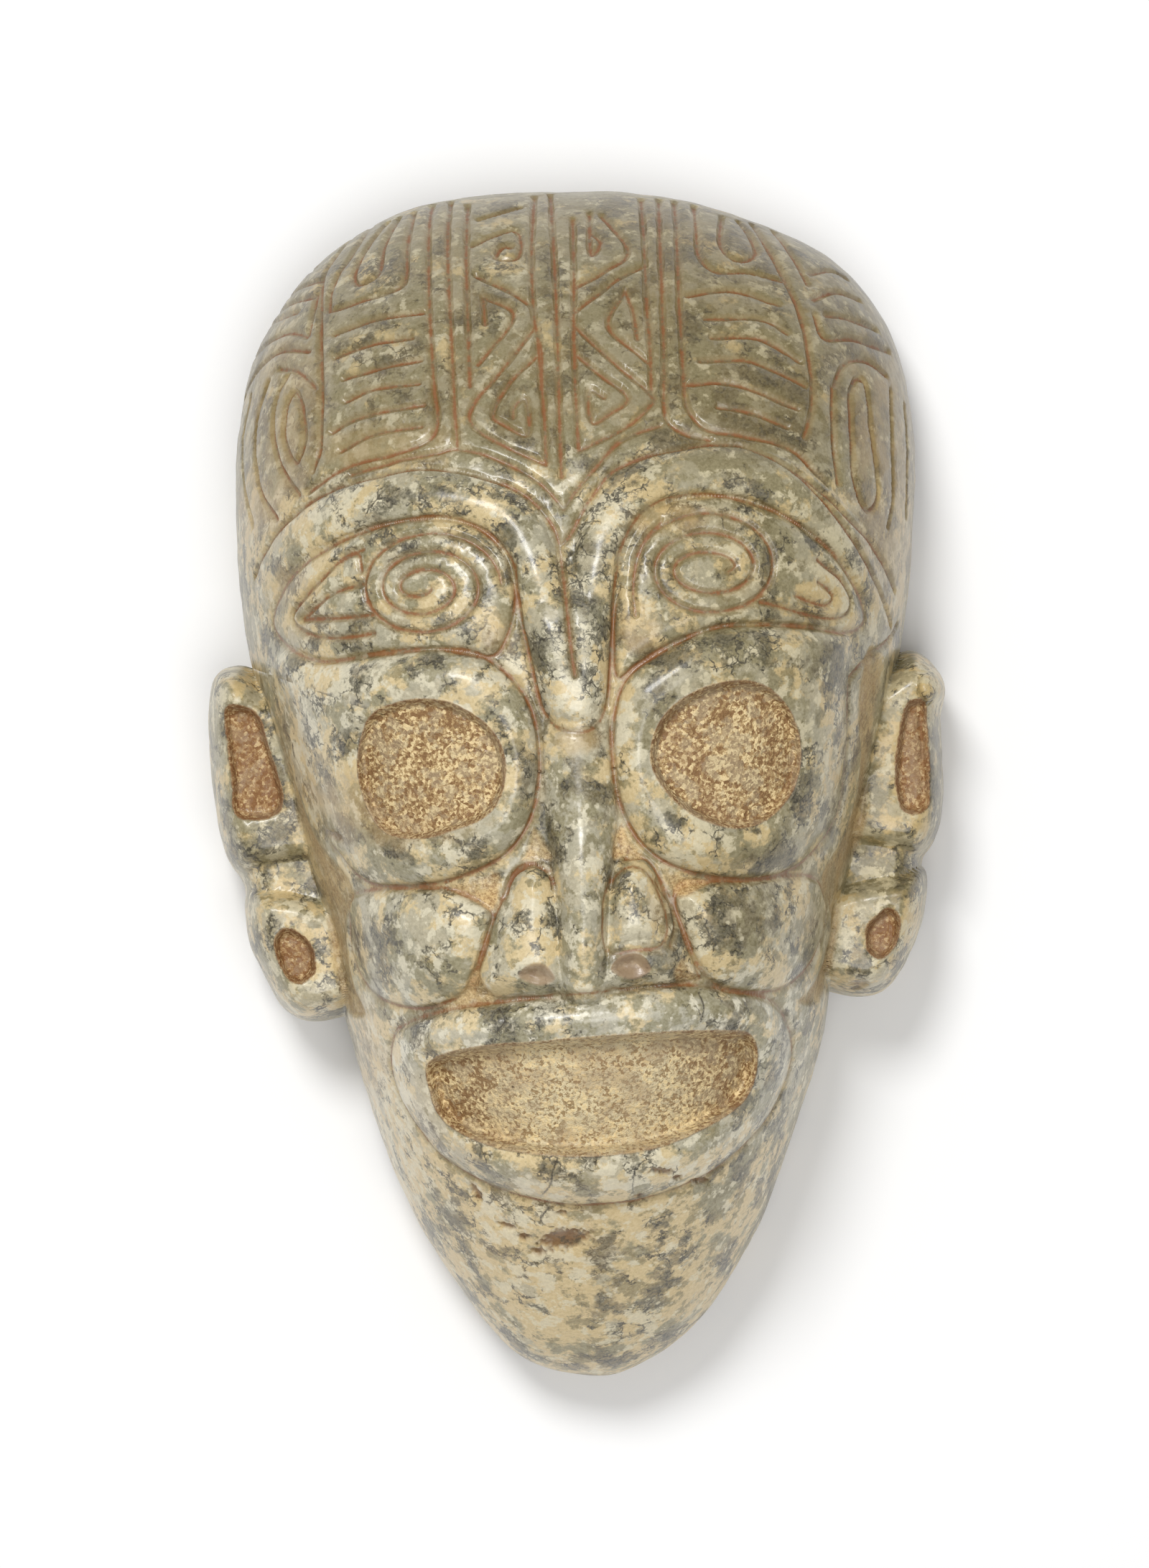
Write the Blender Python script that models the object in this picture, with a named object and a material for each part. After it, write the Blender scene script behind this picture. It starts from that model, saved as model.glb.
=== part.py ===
"""Carved stone mask: a domed, banded forehead, spiral eyelids, wide eye rings, an open mouth.

One stone, lying on the flat rim of its hollowed back with the face up.
Metres. Z rises out of the face, Y runs to the crown, X to the right as the face is looked at.
Free-form carving is drawn in shares, hundredths of the mask's own height, from the middle of the face.
"""
import math

import bpy
import numpy as np

# Named sizes, in metres.
HEIGHT = 0.220              # crown to chin
FACE_RISE = 0.068           # dome over the widest outline, at the middle of the face
EDGE_HEIGHT = 0.012         # widest outline above the plane of the rim
EDGE_TUCK = 0.0045          # how far the rounded back edge draws in under the outline
RIM_WIDTH = 0.018           # flat rim round the hollow, from the outline of the head
WALL = 0.021                # stone left between the hollow and the middle of the face
EYE_DEPTH = 0.0030          # sunk eyes
MOUTH_DEPTH = 0.0050        # sunk mouth
NOSTRIL_DEPTH = 0.0016      # nostrils under the wings of the nose
EAR_HEIGHT = 0.024          # ears above the widest outline
EAR_PIT_DEPTH = 0.0028      # slot and oval sunk in each ear
EYE_RING_RISE = 0.0040      # round rings about the eyes
LIP_RISE = 0.0046           # ring of the lips
CHEEK_RISE = 0.0044         # cheek bosses
BROW_RISE = 0.0026          # brow ridges
BRIDGE_RISE = 0.0044        # bridge between the brows, down to its rounded step
EYELID_RISE = 0.0016        # spiral eyelid panels
NOSE_RISE = 0.0080          # ridge of the nose
WING_RISE = 0.0050          # wings of the nose
GROOVE_WIDTH = 0.0019       # cut lines, across the top
GROOVE_DEPTH = 0.0010       # cut lines

SHARE = HEIGHT / 100.0

COLUMNS = 960               # grid round the mask before it is thinned
FRONT_ROWS = 270            # grid from the middle of the face to the outline
CROWN_SHARE = 1.2           # how much closer the columns stand over the cut bands
BACK_ROWS = 46              # grid over the hollow
TRIANGLES = 9800            # facets kept in the finished solid

# The head behind the ears, anticlockwise from the crown.
HEAD = [(1.2, 50.1), (-6.7, 50.0), (-13.4, 48.6), (-20.2, 44.4), (-25.1, 37.8), (-27.1, 30.3),
        (-27.6, 21.0), (-26.9, 12.0), (-25.2, 4.0), (-23.6, -3.0), (-21.6, -11.0), (-20.1, -19.0),
        (-18.5, -25.7), (-15.9, -33.8), (-11.9, -41.5), (-6.8, -48.1), (-1.3, -50.1), (2.8, -49.7),
        (8.5, -46.0), (13.8, -38.3), (17.1, -30.5), (19.9, -22.7), (21.4, -15.0), (23.2, -8.0),
        (25.4, 0.0), (27.4, 8.0), (28.9, 16.0), (29.8, 27.9), (28.2, 36.9), (23.5, 43.4),
        (15.0, 47.7), (8.0, 49.6)]

# How full the dome is down the middle of the face, as a share of FACE_RISE, and how square its sides.
PROFILE_Y = [-50.0, -40.0, -30.0, -15.0, 0.0, 10.0, 25.0, 40.0, 50.0]
PROFILE_FULL = [0.66, 0.82, 0.95, 1.00, 1.01, 1.02, 1.03, 1.00, 0.97]
PROFILE_POWER = [2.5, 2.5, 2.8, 3.3, 3.3, 3.1, 2.6, 2.5, 2.5]

# Ears: two lobes on each side and the lower plate that joins them. They start in under the cheek.
EARS_UPPER = [
    [(-26.3, 10.6), (-28.6, 11.1), (-30.1, 9.9), (-30.6, 6.5), (-30.4, 0.5), (-29.9, -3.6),
     (-28.4, -6.6), (-24.6, -6.7), (-19.4, -5.4), (-19.9, 0.6), (-21.8, 6.6)],
    [(27.6, 9.8), (30.0, 9.5), (31.5, 6.8), (30.9, 3.4), (31.1, -1.0), (30.5, -5.2),
     (28.6, -7.6), (25.0, -7.4), (20.2, -5.8), (20.8, 0.4), (22.6, 6.0)],
]
EARS_LOWER = [
    [(-27.6, -7.3), (-28.1, -11.0), (-27.0, -14.6), (-24.9, -18.2), (-22.0, -19.1),
     (-17.8, -17.6), (-16.8, -14.4), (-17.8, -9.6), (-23.4, -7.0)],
    [(28.8, -8.0), (29.2, -11.0), (28.1, -14.6), (25.7, -18.2), (22.6, -18.9), (18.6, -17.2),
     (17.6, -14.4), (18.2, -9.6), (24.0, -7.9)],
]
EAR_BASES = [
    [(-26.3, 10.0), (-29.6, 9.4), (-30.6, 5.0), (-30.3, -1.0), (-29.4, -5.2), (-28.2, -7.4),
     (-28.0, -11.0), (-26.6, -15.4), (-24.0, -18.4), (-19.6, -17.6), (-17.6, -9.6),
     (-19.9, 0.6), (-21.8, 6.2)],
    [(27.6, 9.2), (30.2, 9.0), (31.0, 4.6), (31.0, -1.0), (30.2, -5.6), (29.0, -7.8),
     (29.0, -11.4), (27.4, -15.6), (24.6, -18.3), (20.0, -17.4), (18.0, -9.6), (20.6, 0.4),
     (22.4, 5.6)],
]
EAR_SLOTS = [
    [(-28.6, 7.6), (-27.1, 7.0), (-26.2, 5.0), (-25.6, 2.8), (-24.9, 0.2), (-25.3, -1.2),
     (-26.8, -1.8), (-28.3, -1.3), (-28.4, 1.4), (-28.6, 5.0)],
    [(27.6, 5.3), (28.5, 5.9), (29.4, 5.4), (29.5, 2.6), (29.5, -1.2), (29.3, -3.1),
     (28.1, -3.7), (26.9, -3.1), (26.5, -0.4), (26.9, 2.6)],
]
EAR_OVALS = [
    [(-24.5, -10.9), (-23.0, -11.5), (-22.1, -12.9), (-22.1, -14.6), (-23.2, -15.6),
     (-24.4, -15.2), (-25.2, -13.6), (-25.4, -11.9)],
    [(24.9, -11.5), (26.0, -11.4), (26.5, -12.6), (26.1, -14.4), (24.8, -15.6), (23.7, -14.9),
     (23.5, -13.0)],
]
EAR_KNOBS = [(-28.4, 9.0, 2.1, 0.6), (30.2, 6.9, 1.5, 1.5)]

# Raised forms: closed outlines, each shared with its neighbour where the two touch.
RING_LEFT = [(-22.7, 12.0), (-19.8, 10.7), (-15.0, 11.0), (-10.4, 11.2), (-7.3, 10.7), (-4.7, 8.7),
             (-3.2, 6.2), (-2.7, 3.1), (-2.9, -0.2), (-3.9, -3.2), (-5.9, -5.5), (-9.5, -7.1),
             (-14.2, -7.7), (-17.5, -7.0), (-19.9, -4.3), (-21.4, 0.1), (-22.6, 5.0), (-24.6, 10.4)]
RING_RIGHT = [(12.5, 12.1), (9.6, 11.3), (6.7, 9.9), (4.4, 8.1), (3.3, 5.0), (3.1, 1.7),
              (3.5, -1.6), (4.9, -4.7), (7.4, -6.8), (11.2, -8.0), (15.9, -8.1), (19.0, -6.5),
              (21.4, -3.2), (22.2, 1.5), (22.6, 7.0), (22.7, 11.1), (18.4, 11.9)]
EYE_LEFT = [(-15.9, 6.3), (-13.6, 7.2), (-11.1, 7.3), (-8.9, 6.6), (-6.6, 4.9), (-5.4, 2.4),
            (-5.7, -0.5), (-7.3, -2.4), (-9.9, -3.4), (-12.7, -3.9), (-15.3, -3.3), (-16.7, -1.3),
            (-17.4, 1.7), (-17.0, 4.4)]
EYE_RIGHT = [(8.3, 6.1), (11.0, 7.4), (14.1, 7.7), (16.4, 6.6), (17.9, 4.3), (18.3, 1.3),
             (17.4, -1.5), (15.2, -3.6), (12.5, -4.1), (9.8, -3.2), (7.4, -1.2), (6.1, 1.4),
             (6.6, 4.1)]
LID_LEFT = [(-16.4, 20.8), (-12.9, 21.6), (-9.2, 21.7), (-6.2, 20.3), (-4.3, 17.9), (-4.1, 14.6),
            (-5.0, 11.7), (-6.4, 10.4), (-10.4, 11.2), (-15.1, 11.1), (-19.8, 10.7), (-22.8, 12.1),
            (-24.1, 14.3), (-22.6, 17.3), (-19.8, 19.4)]
LID_RIGHT = [(3.6, 12.6), (3.9, 15.4), (4.5, 18.5), (6.4, 21.4), (9.5, 22.6), (13.2, 22.4),
             (17.6, 20.8), (21.3, 18.0), (23.5, 14.8), (24.1, 12.2), (22.3, 11.3), (18.4, 11.9),
             (12.5, 12.1), (8.2, 10.8), (5.3, 9.2), (3.7, 8.4)]

# Ridges: the line each one follows, its half width, and its rise as a part of the named one.
BROWS = [
    [(-24.9, 17.0, 0.8, 0.4), (-21.6, 20.8, 1.6, 0.8), (-15.4, 23.4, 2.1, 1.0),
     (-10.0, 23.7, 2.1, 1.0), (-5.4, 22.3, 2.0, 1.0), (-3.0, 19.2, 1.9, 1.1),
     (-1.9, 15.0, 1.9, 1.2), (-1.4, 12.4, 1.4, 0.9)],
    [(25.4, 13.8, 0.8, 0.4), (23.2, 18.4, 1.6, 0.8), (19.4, 22.2, 2.1, 1.0),
     (15.2, 24.3, 2.1, 1.0), (11.0, 24.6, 2.1, 1.0), (6.9, 23.6, 2.1, 1.0), (3.6, 20.2, 2.1, 1.1),
     (2.3, 15.6, 1.9, 1.2), (2.0, 12.4, 1.4, 0.9)],
]

# The bridge, the nose and what lies beside it.
BRIDGE = [(-4.1, 17.6), (-3.9, 15.1), (-3.6, 12.8), (-3.2, 10.5), (-2.8, 8.2), (-2.3, 6.0),
          (-1.3, 4.6), (0.3, 4.1), (1.9, 4.5), (2.8, 6.0), (3.1, 7.9), (3.3, 10.0), (3.6, 12.6),
          (3.9, 15.3), (4.2, 17.6), (2.6, 19.4), (0.1, 18.0), (-2.6, 19.4)]
NOSE_RIDGE = [(0.4, 5.4, 2.6, 0.34), (0.4, 1.6, 2.9, 0.44), (0.5, -2.6, 2.9, 0.62),
              (0.4, -6.6, 2.6, 0.84), (0.3, -10.4, 2.4, 0.98), (0.1, -13.4, 2.4, 0.98),
              (0.1, -16.0, 2.5, 0.80)]
WING_LEFT = [(-3.6, -6.1), (-5.0, -6.8), (-6.0, -8.6), (-7.2, -11.2), (-8.3, -14.2),
             (-8.9, -16.4), (-5.0, -16.9), (-0.6, -16.6), (-1.0, -12.7), (-1.4, -9.3),
             (-2.2, -6.8)]
WING_RIGHT = [(3.8, -6.1), (5.4, -6.2), (6.5, -7.9), (7.9, -11.2), (8.9, -14.2), (9.4, -16.0),
              (5.0, -16.4), (0.9, -16.5), (1.4, -12.0), (1.7, -9.3), (2.5, -7.0)]
LOBE_RIGHT = [(2.1, -13.4), (1.9, -10.3), (2.2, -8.7), (3.0, -7.3), (4.2, -6.7), (5.4, -7.2),
              (6.3, -8.7), (6.9, -10.6), (6.9, -12.2), (6.2, -13.3), (4.4, -13.4)]
NOSTRILS = [[(-5.2, -15.2), (-4.8, -14.4), (-3.9, -14.0), (-3.0, -14.1), (-2.3, -14.8),
             (-2.2, -15.6), (-3.6, -16.0)],
            [(2.2, -15.0), (2.7, -14.0), (3.6, -13.6), (4.6, -13.6), (5.3, -14.3), (5.5, -15.2),
             (3.9, -15.8)]]
CHEEK_LEFT = [(-18.6, -8.4), (-16.0, -7.8), (-11.8, -7.8), (-9.6, -8.2), (-7.1, -9.8),
              (-7.4, -12.0), (-8.5, -14.8), (-9.8, -16.6), (-13.5, -17.6), (-17.0, -16.4),
              (-18.6, -13.6), (-18.9, -10.6)]
CHEEK_RIGHT = [(8.8, -8.2), (13.5, -8.3), (18.6, -8.2), (20.1, -9.9), (20.1, -12.2), (18.8, -15.3),
               (16.4, -17.2), (13.6, -17.4), (10.9, -16.8), (9.1, -14.6), (7.9, -11.4),
               (7.6, -9.2)]
LIPS = [(-15.6, -19.9), (-14.2, -18.7), (-11.0, -17.7), (-6.5, -17.1), (0.0, -16.7), (7.9, -16.4),
        (12.0, -17.1), (15.2, -18.2), (16.6, -20.4), (16.9, -23.0), (15.9, -26.0), (13.6, -29.2),
        (9.6, -32.1), (4.4, -33.8), (-1.4, -34.1), (-7.0, -32.8), (-11.8, -30.1), (-14.5, -26.6),
        (-15.9, -23.0)]
MOUTH = [(-12.7, -21.9), (-9.5, -20.7), (-3.7, -20.3), (4.9, -20.0), (11.4, -20.2), (13.5, -20.9),
         (13.9, -23.2), (12.9, -26.0), (10.0, -27.9), (5.1, -29.6), (-1.3, -29.9), (-7.6, -29.0),
         (-11.6, -26.9), (-12.8, -24.2)]

# Lines cut into the forehead and brow that read from a step away.
GROOVES = [
    [(-10.0, 48.4), (-10.2, 40.0), (-10.0, 32.4), (-9.8, 29.4), (-11.6, 27.5), (-17.1, 26.4)],
    [(-8.3, 48.8), (-8.5, 40.0), (-8.3, 30.6), (-8.3, 27.6)],
    [(9.0, 48.2), (8.8, 39.2), (8.6, 31.0), (10.2, 27.7)],
    [(10.4, 48.0), (10.2, 39.0), (10.2, 31.0), (11.7, 28.2), (14.9, 27.4)],
    [(-1.3, 49.0), (-1.7, 38.2), (-1.5, 32.8)],
    [(0.1, 49.0), (0.1, 38.0), (0.0, 24.8)],
    [(1.8, 46.7), (1.6, 37.1), (1.4, 32.0), (1.5, 26.7)],
    [(-1.6, 37.2), (-4.8, 33.3), (-6.9, 30.2), (-4.2, 27.4), (-1.2, 25.8)],
    [(1.6, 37.1), (5.0, 33.4), (7.4, 30.4), (4.8, 28.2), (1.5, 26.7)],
    [(-25.4, 18.4), (-22.6, 22.0), (-17.6, 24.9), (-12.0, 25.9), (-6.4, 25.3), (-2.6, 23.2),
     (-0.5, 20.2), (-0.1, 12.5), (0.3, 8.5)],
    [(-0.5, 20.2), (2.0, 22.4), (5.4, 24.8), (11.0, 26.6), (15.6, 26.2), (19.6, 23.9), (23.6, 18.4),
     (26.2, 13.0)],
    [(-17.1, 26.4), (-10.4, 26.9), (-5.0, 26.5), (-2.2, 25.0), (0.0, 22.4), (3.4, 26.0),
     (7.5, 28.2)],
    [(-18.5, 39.6), (-12.9, 41.1), (-12.1, 42.4), (-12.0, 44.8), (-11.4, 48.2)],
    [(18.9, 38.4), (19.0, 40.6), (17.6, 44.0), (15.8, 47.0)],
    [(-19.3, 39.6), (-19.4, 33.9), (-19.5, 28.3)],
    [(-16.2, 19.5), (-20.1, 17.0), (-22.3, 14.6), (-20.3, 12.7), (-15.6, 12.7)],
    [(-16.4, 16.7), (-19.9, 15.5), (-21.5, 14.2), (-15.6, 14.2)],
    [(15.5, 13.9), (20.2, 12.5), (22.7, 12.8), (22.6, 15.1), (20.4, 17.2)],
]
# Short strokes across the side bands: one end of the lowest, its run, and the step up.
HATCHES = [(-17.8, 27.6, 6.8, 1.6, 2.05, 6), (12.6, 31.6, 7.2, -1.7, 2.05, 5)]
# Eyelid spirals: middle, outer and inner half widths and heights, turns, start, drift a turn.
SPIRALS = [(-11.0, 16.2, (5.9, 1.0), (4.7, 0.4), 2.95, 0.0, -0.24),
           (11.5, 16.8, (6.0, 1.9), (4.8, 0.7), -2.6, math.pi, 0.0)]


def smooth(points, steps, closed):
    """Catmull-Rom curve through the points, which may carry more than two numbers each."""
    p = np.array(points, float)
    if closed:
        q = np.vstack([p[-1:], p, p[:2]])
    else:
        q = np.vstack([2 * p[:1] - p[1:2], p, 2 * p[-1:] - p[-2:-1]])
    t = (np.arange(steps) / steps)[:, None]
    out = []
    for a, b, c, d in zip(q[:-3], q[1:-2], q[2:-1], q[3:]):
        out.append(0.5 * (2 * b + (c - a) * t + (2 * a - 5 * b + 4 * c - d) * t ** 2
                          + (3 * b - a - 3 * c + d) * t ** 3))
    if not closed:
        out.append(p[-1:])
    return np.vstack(out)


def spiral(cx, cy, wide, high, turns, start, drift, steps=26):
    """Line winding in from the outer to the inner half width and height."""
    k = np.arange(int(abs(turns) * steps) + 1) / steps
    inward = k / k[-1]
    a = start + math.copysign(1, turns) * 2 * math.pi * k
    rx = wide[0] + (wide[1] - wide[0]) * inward
    ry = high[0] + (high[1] - high[0]) * inward
    return np.column_stack([cx + drift * k + rx * np.cos(a), cy + ry * np.sin(a)])


def hatch(x, y, run, rise, step, count):
    """Bowed strokes stacked up a band."""
    u = np.linspace(0, 1, 9)
    bow = 4 * u * (1 - u) * 0.35
    return [np.column_stack([x + run * u, y + k * step + rise * u + bow]) for k in range(count)]


def nearest(x, y, line, closed):
    """Distance from every point to a line, and how far along the line the nearest spot lies."""
    a = line
    b = np.roll(line, -1, axis=0)
    if not closed:
        a, b = line[:-1], line[1:]
    best = np.full(x.shape, 1e9)
    where = np.zeros(x.shape)
    for i in range(len(a)):
        e = b[i, :2] - a[i, :2]
        u = ((x - a[i, 0]) * e[0] + (y - a[i, 1]) * e[1]) / max(e @ e, 1e-12)
        u = np.clip(u, 0, 1)
        d = np.hypot(x - a[i, 0] - u * e[0], y - a[i, 1] - u * e[1])
        near = d < best
        best[near] = d[near]
        where[near] = (i + u)[near]
    return best, where


def within(x, y, loop):
    """True for points inside a closed line."""
    inside = np.zeros(x.shape, bool)
    for (x0, y0), (x1, y1) in zip(loop[:, :2], np.roll(loop[:, :2], -1, axis=0)):
        cross = (y0 > y) != (y1 > y)
        span = y1 - y0 if y1 != y0 else 1e-12
        inside ^= cross & (x < (x1 - x0) * (y - y0) / span + x0)
    return inside


def depth_in(x, y, loop, beside=0.0):
    """How far inside a closed line each point lies, or with a minus, up to a limit, outside."""
    out = np.full(x.shape, -beside)
    low, high = loop[:, :2].min(0) - beside, loop[:, :2].max(0) + beside
    pick = (x > low[0]) & (x < high[0]) & (y > low[1]) & (y < high[1])
    px, py = x[pick], y[pick]
    if not px.size:
        return out
    away = nearest(px, py, loop, True)[0]
    out[pick] = np.where(within(px, py, loop), away, -np.minimum(away, beside))
    return out


def smoothstep(u):
    u = np.clip(u, 0, 1)
    return u * u * (3 - 2 * u)


def swell(depth, shoulder):
    u = np.clip(depth / shoulder, 0, 1)
    return 1 - (1 - u) ** 2.3


def ridge(x, y, line, power):
    """Rise along a line that carries its own half width and height."""
    out = np.zeros(x.shape)
    wide = line[:, 2].max()
    low, high = line[:, :2].min(0) - wide, line[:, :2].max(0) + wide
    pick = (x > low[0]) & (x < high[0]) & (y > low[1]) & (y < high[1])
    d, where = nearest(x[pick], y[pick], line, False)
    half = np.interp(where, np.arange(len(line)), line[:, 2])
    high = np.interp(where, np.arange(len(line)), line[:, 3])
    out[pick] = high * np.clip(1 - (d / half) ** 2, 0, 1) ** power
    return out


def loop(points):
    return smooth(points, 8, True)


HEAD_LINE = smooth(HEAD, 14, True)
HEAD_LINE[:, 1] -= (HEAD_LINE[:, 1].max() + HEAD_LINE[:, 1].min()) / 2
HEAD_LINE[:, 1] *= 50.0 / HEAD_LINE[:, 1].max()
head_angle = np.arctan2(HEAD_LINE[:, 1], HEAD_LINE[:, 0])
head_order = np.argsort(head_angle)
HEAD_ANGLE = head_angle[head_order]
HEAD_REACH = np.hypot(HEAD_LINE[:, 0], HEAD_LINE[:, 1])[head_order]


def head_reach(angle):
    return np.interp(angle, HEAD_ANGLE, HEAD_REACH, period=2 * math.pi)


EDGE = EDGE_HEIGHT / SHARE
EAR_LINES = [(loop(p), EAR_HEIGHT / SHARE) for p in EARS_UPPER]
EAR_LINES += [(loop(p), 1.04 * EAR_HEIGHT / SHARE) for p in EARS_LOWER]
EAR_LINES += [(loop(p), 0.84 * EAR_HEIGHT / SHARE) for p in EAR_BASES]
BOSSES = [(loop(p), EYE_RING_RISE / SHARE, 2.8) for p in (RING_LEFT, RING_RIGHT)]
BOSSES += [(loop(p), EYELID_RISE / SHARE, 1.6) for p in (LID_LEFT, LID_RIGHT)]
BOSSES += [(loop(p), CHEEK_RISE / SHARE, 4.4) for p in (CHEEK_LEFT, CHEEK_RIGHT)]
BOSSES += [(loop(WING_LEFT), WING_RISE / SHARE, 3.2),
           (loop(WING_RIGHT), 0.72 * WING_RISE / SHARE, 1.8),
           (loop(LOBE_RIGHT), 1.12 * WING_RISE / SHARE, 2.2),
           (loop(LIPS), LIP_RISE / SHARE, 2.6)]
BRIDGE_LINE = loop(BRIDGE)
RIDGES = [(smooth(p, 8, False), BROW_RISE / SHARE, 0.75) for p in BROWS]
RIDGES.append((smooth(NOSE_RIDGE, 8, False), NOSE_RISE / SHARE, 0.95))
WIDE_PITS = [loop(p) for p in (EYE_LEFT, EYE_RIGHT, MOUTH)]
PITS = [(loop(p), EYE_DEPTH / SHARE, 0.7) for p in (EYE_LEFT, EYE_RIGHT)]
PITS += [(loop(p), NOSTRIL_DEPTH / SHARE, 0.9) for p in NOSTRILS]
PITS.append((loop(MOUTH), MOUTH_DEPTH / SHARE, 1.0))
EAR_SUNK = [loop(p) for p in EAR_SLOTS + EAR_OVALS]


def outline_reach(angle):
    """Reach of the whole outline, head and ears, from the middle of the face."""
    reach = head_reach(angle)
    ray_x, ray_y = np.cos(angle), np.sin(angle)
    for line, _ in EAR_LINES:
        for (x0, y0), (x1, y1) in zip(line, np.roll(line, -1, axis=0)):
            cross = ray_x * (y1 - y0) - ray_y * (x1 - x0)
            cross = np.where(np.abs(cross) < 1e-9, 1e-9, cross)
            far = (x0 * (y1 - y0) - y0 * (x1 - x0)) / cross
            along = (x0 * ray_y - y0 * ray_x) / cross
            hit = (far > 0) & (along >= 0) & (along <= 1)
            reach = np.where(hit & (far > reach), far, reach)
    return reach


def dome(x, y):
    """Height of the plain head over the rim plane, in shares."""
    reach = head_reach(np.arctan2(y, x))
    t = np.clip(np.hypot(x, y) / reach, 0, 1)
    full = np.interp(y, PROFILE_Y, PROFILE_FULL) * FACE_RISE / SHARE
    return EDGE + full * np.sqrt(1 - t ** np.interp(y, PROFILE_Y, PROFILE_POWER))


def relief(x, y):
    """Height of the carved face over the rim plane, in shares."""
    base = dome(x, y)
    rise = np.zeros(x.shape)
    for line, height, shoulder in BOSSES:
        rise = np.maximum(rise, height * swell(depth_in(x, y, line), shoulder))
    for line, height, power in RIDGES:
        rise = np.maximum(rise, height * ridge(x, y, line, power))
    bridge = BRIDGE_RISE / SHARE * swell(depth_in(x, y, BRIDGE_LINE), 2.2)
    rise = np.maximum(rise, bridge * smoothstep((19.0 - y) / 7))
    for line in WIDE_PITS:
        rise -= 0.35 * smoothstep(1 + depth_in(x, y, line, 1.6) / 1.6) ** 2
    for line, depth, wall in PITS:
        rise -= depth * smoothstep(depth_in(x, y, line) / wall)
    face = base + rise * np.clip((base - EDGE) / 4, 0, 1)

    plate = np.zeros(x.shape)
    for line, lift in EAR_LINES:
        u = np.clip(depth_in(x, y, line) / 2.8, 0, 1)
        plate = np.maximum(plate, lift * np.sqrt(1 - (1 - u) ** 2))
    for cx, cy, r, swollen in EAR_KNOBS:
        ball = np.sqrt(np.clip(1 - ((x - cx) ** 2 + (y - cy) ** 2) / r ** 2, 0, 1))
        plate = plate + swollen * ball
    for line in EAR_SUNK:
        plate -= EAR_PIT_DEPTH / SHARE * smoothstep(depth_in(x, y, line) / 0.6)
    return np.maximum(face, EDGE + plate)


def front_grid():
    """Columns spread evenly round the outline, rows spread evenly over the carved surface."""
    turn = np.linspace(-math.pi, math.pi, 7201)
    reach = outline_reach(turn)
    step = np.hypot(np.diff(reach), reach[1:] * (turn[1] - turn[0]))
    step *= 1 + CROWN_SHARE * smoothstep((reach[1:] * np.sin(turn[1:]) - 10) / 16)
    along = np.concatenate([[0], np.cumsum(step)])
    angle = np.interp(np.linspace(0, along[-1], COLUMNS, endpoint=False), along, turn)
    reach = outline_reach(angle)

    fine = 520
    s = np.linspace(0, 1, fine)[:, None]
    r = reach[None, :] * s
    z = relief(r * np.cos(angle), r * np.sin(angle))
    travel = np.hypot(np.diff(r, axis=0), 0.7 * np.diff(z, axis=0))
    travel = np.vstack([np.zeros(len(angle)), np.cumsum(travel, axis=0)])
    rows = np.linspace(0, 1, FRONT_ROWS)
    radius = np.column_stack([np.interp(rows * travel[-1, j], travel[:, j], r[:, j])
                              for j in range(len(angle))])
    x = radius * np.cos(angle)
    y = radius * np.sin(angle)
    z = relief(x, y)
    z[-1] = EDGE
    return angle, reach, np.dstack([x, y, z])


def normals(grid):
    down = np.gradient(grid, axis=0)
    round_ = (np.roll(grid, -1, axis=1) - np.roll(grid, 1, axis=1)) / 2
    n = np.cross(down, round_)
    n /= np.linalg.norm(n, axis=2, keepdims=True) + 1e-9
    n[0] = (0, 0, 1)
    return n


def cut(grid, lines):
    """Grooves cut into the surface at right angles to it, wherever the lines run over it."""
    half = GROOVE_WIDTH / SHARE / 2
    sunk = np.zeros(grid.shape[:2])
    for line in lines:
        lifted = np.column_stack([line[:, :2], relief(line[:, 0], line[:, 1])])
        low, high = lifted.min(0) - half, lifted.max(0) + half
        pick = np.all((grid > low) & (grid < high), axis=2)
        p = grid[pick]
        best = np.full(len(p), 1e9)
        for a, b in zip(lifted[:-1], lifted[1:]):
            e = b - a
            u = np.clip((p - a) @ e / max(e @ e, 1e-12), 0, 1)
            best = np.minimum(best, np.linalg.norm(p - a - u[:, None] * e, axis=1))
        depth = np.clip(1 - (best / half) ** 2, 0, 1)
        sunk[pick] = np.maximum(sunk[pick], depth)
    return grid - normals(grid) * (sunk * GROOVE_DEPTH / SHARE)[:, :, None]


def back_rows(angle, reach):
    """Rounded back edge, flat rim, and the hollow closing at its middle."""
    rows = []
    tuck = EDGE_TUCK / SHARE
    for turn in np.linspace(0, math.pi / 2, 7)[1:]:
        r = reach - tuck * (1 - math.cos(turn))
        rows.append((r, EDGE * (1 - math.sin(turn)) + 0 * r))
    inner = head_reach(angle) - RIM_WIDTH / SHARE
    for share in (0.5, 1.0):
        r = (reach - tuck) * (1 - share) + inner * share
        rows.append((r, 0 * r))
    for share in np.linspace(0, 1, BACK_ROWS)[1:]:
        t = math.cos(share * math.pi / 2)
        r = inner * t
        y = r * np.sin(angle)
        full = np.interp(y, PROFILE_Y, PROFILE_FULL) * FACE_RISE / SHARE
        deep = EDGE + full - WALL / SHARE
        rows.append((r, deep * (1 - t ** 2.4) ** 0.62))
    return [np.column_stack([r * np.cos(angle), r * np.sin(angle), z]) for r, z in rows]


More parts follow.
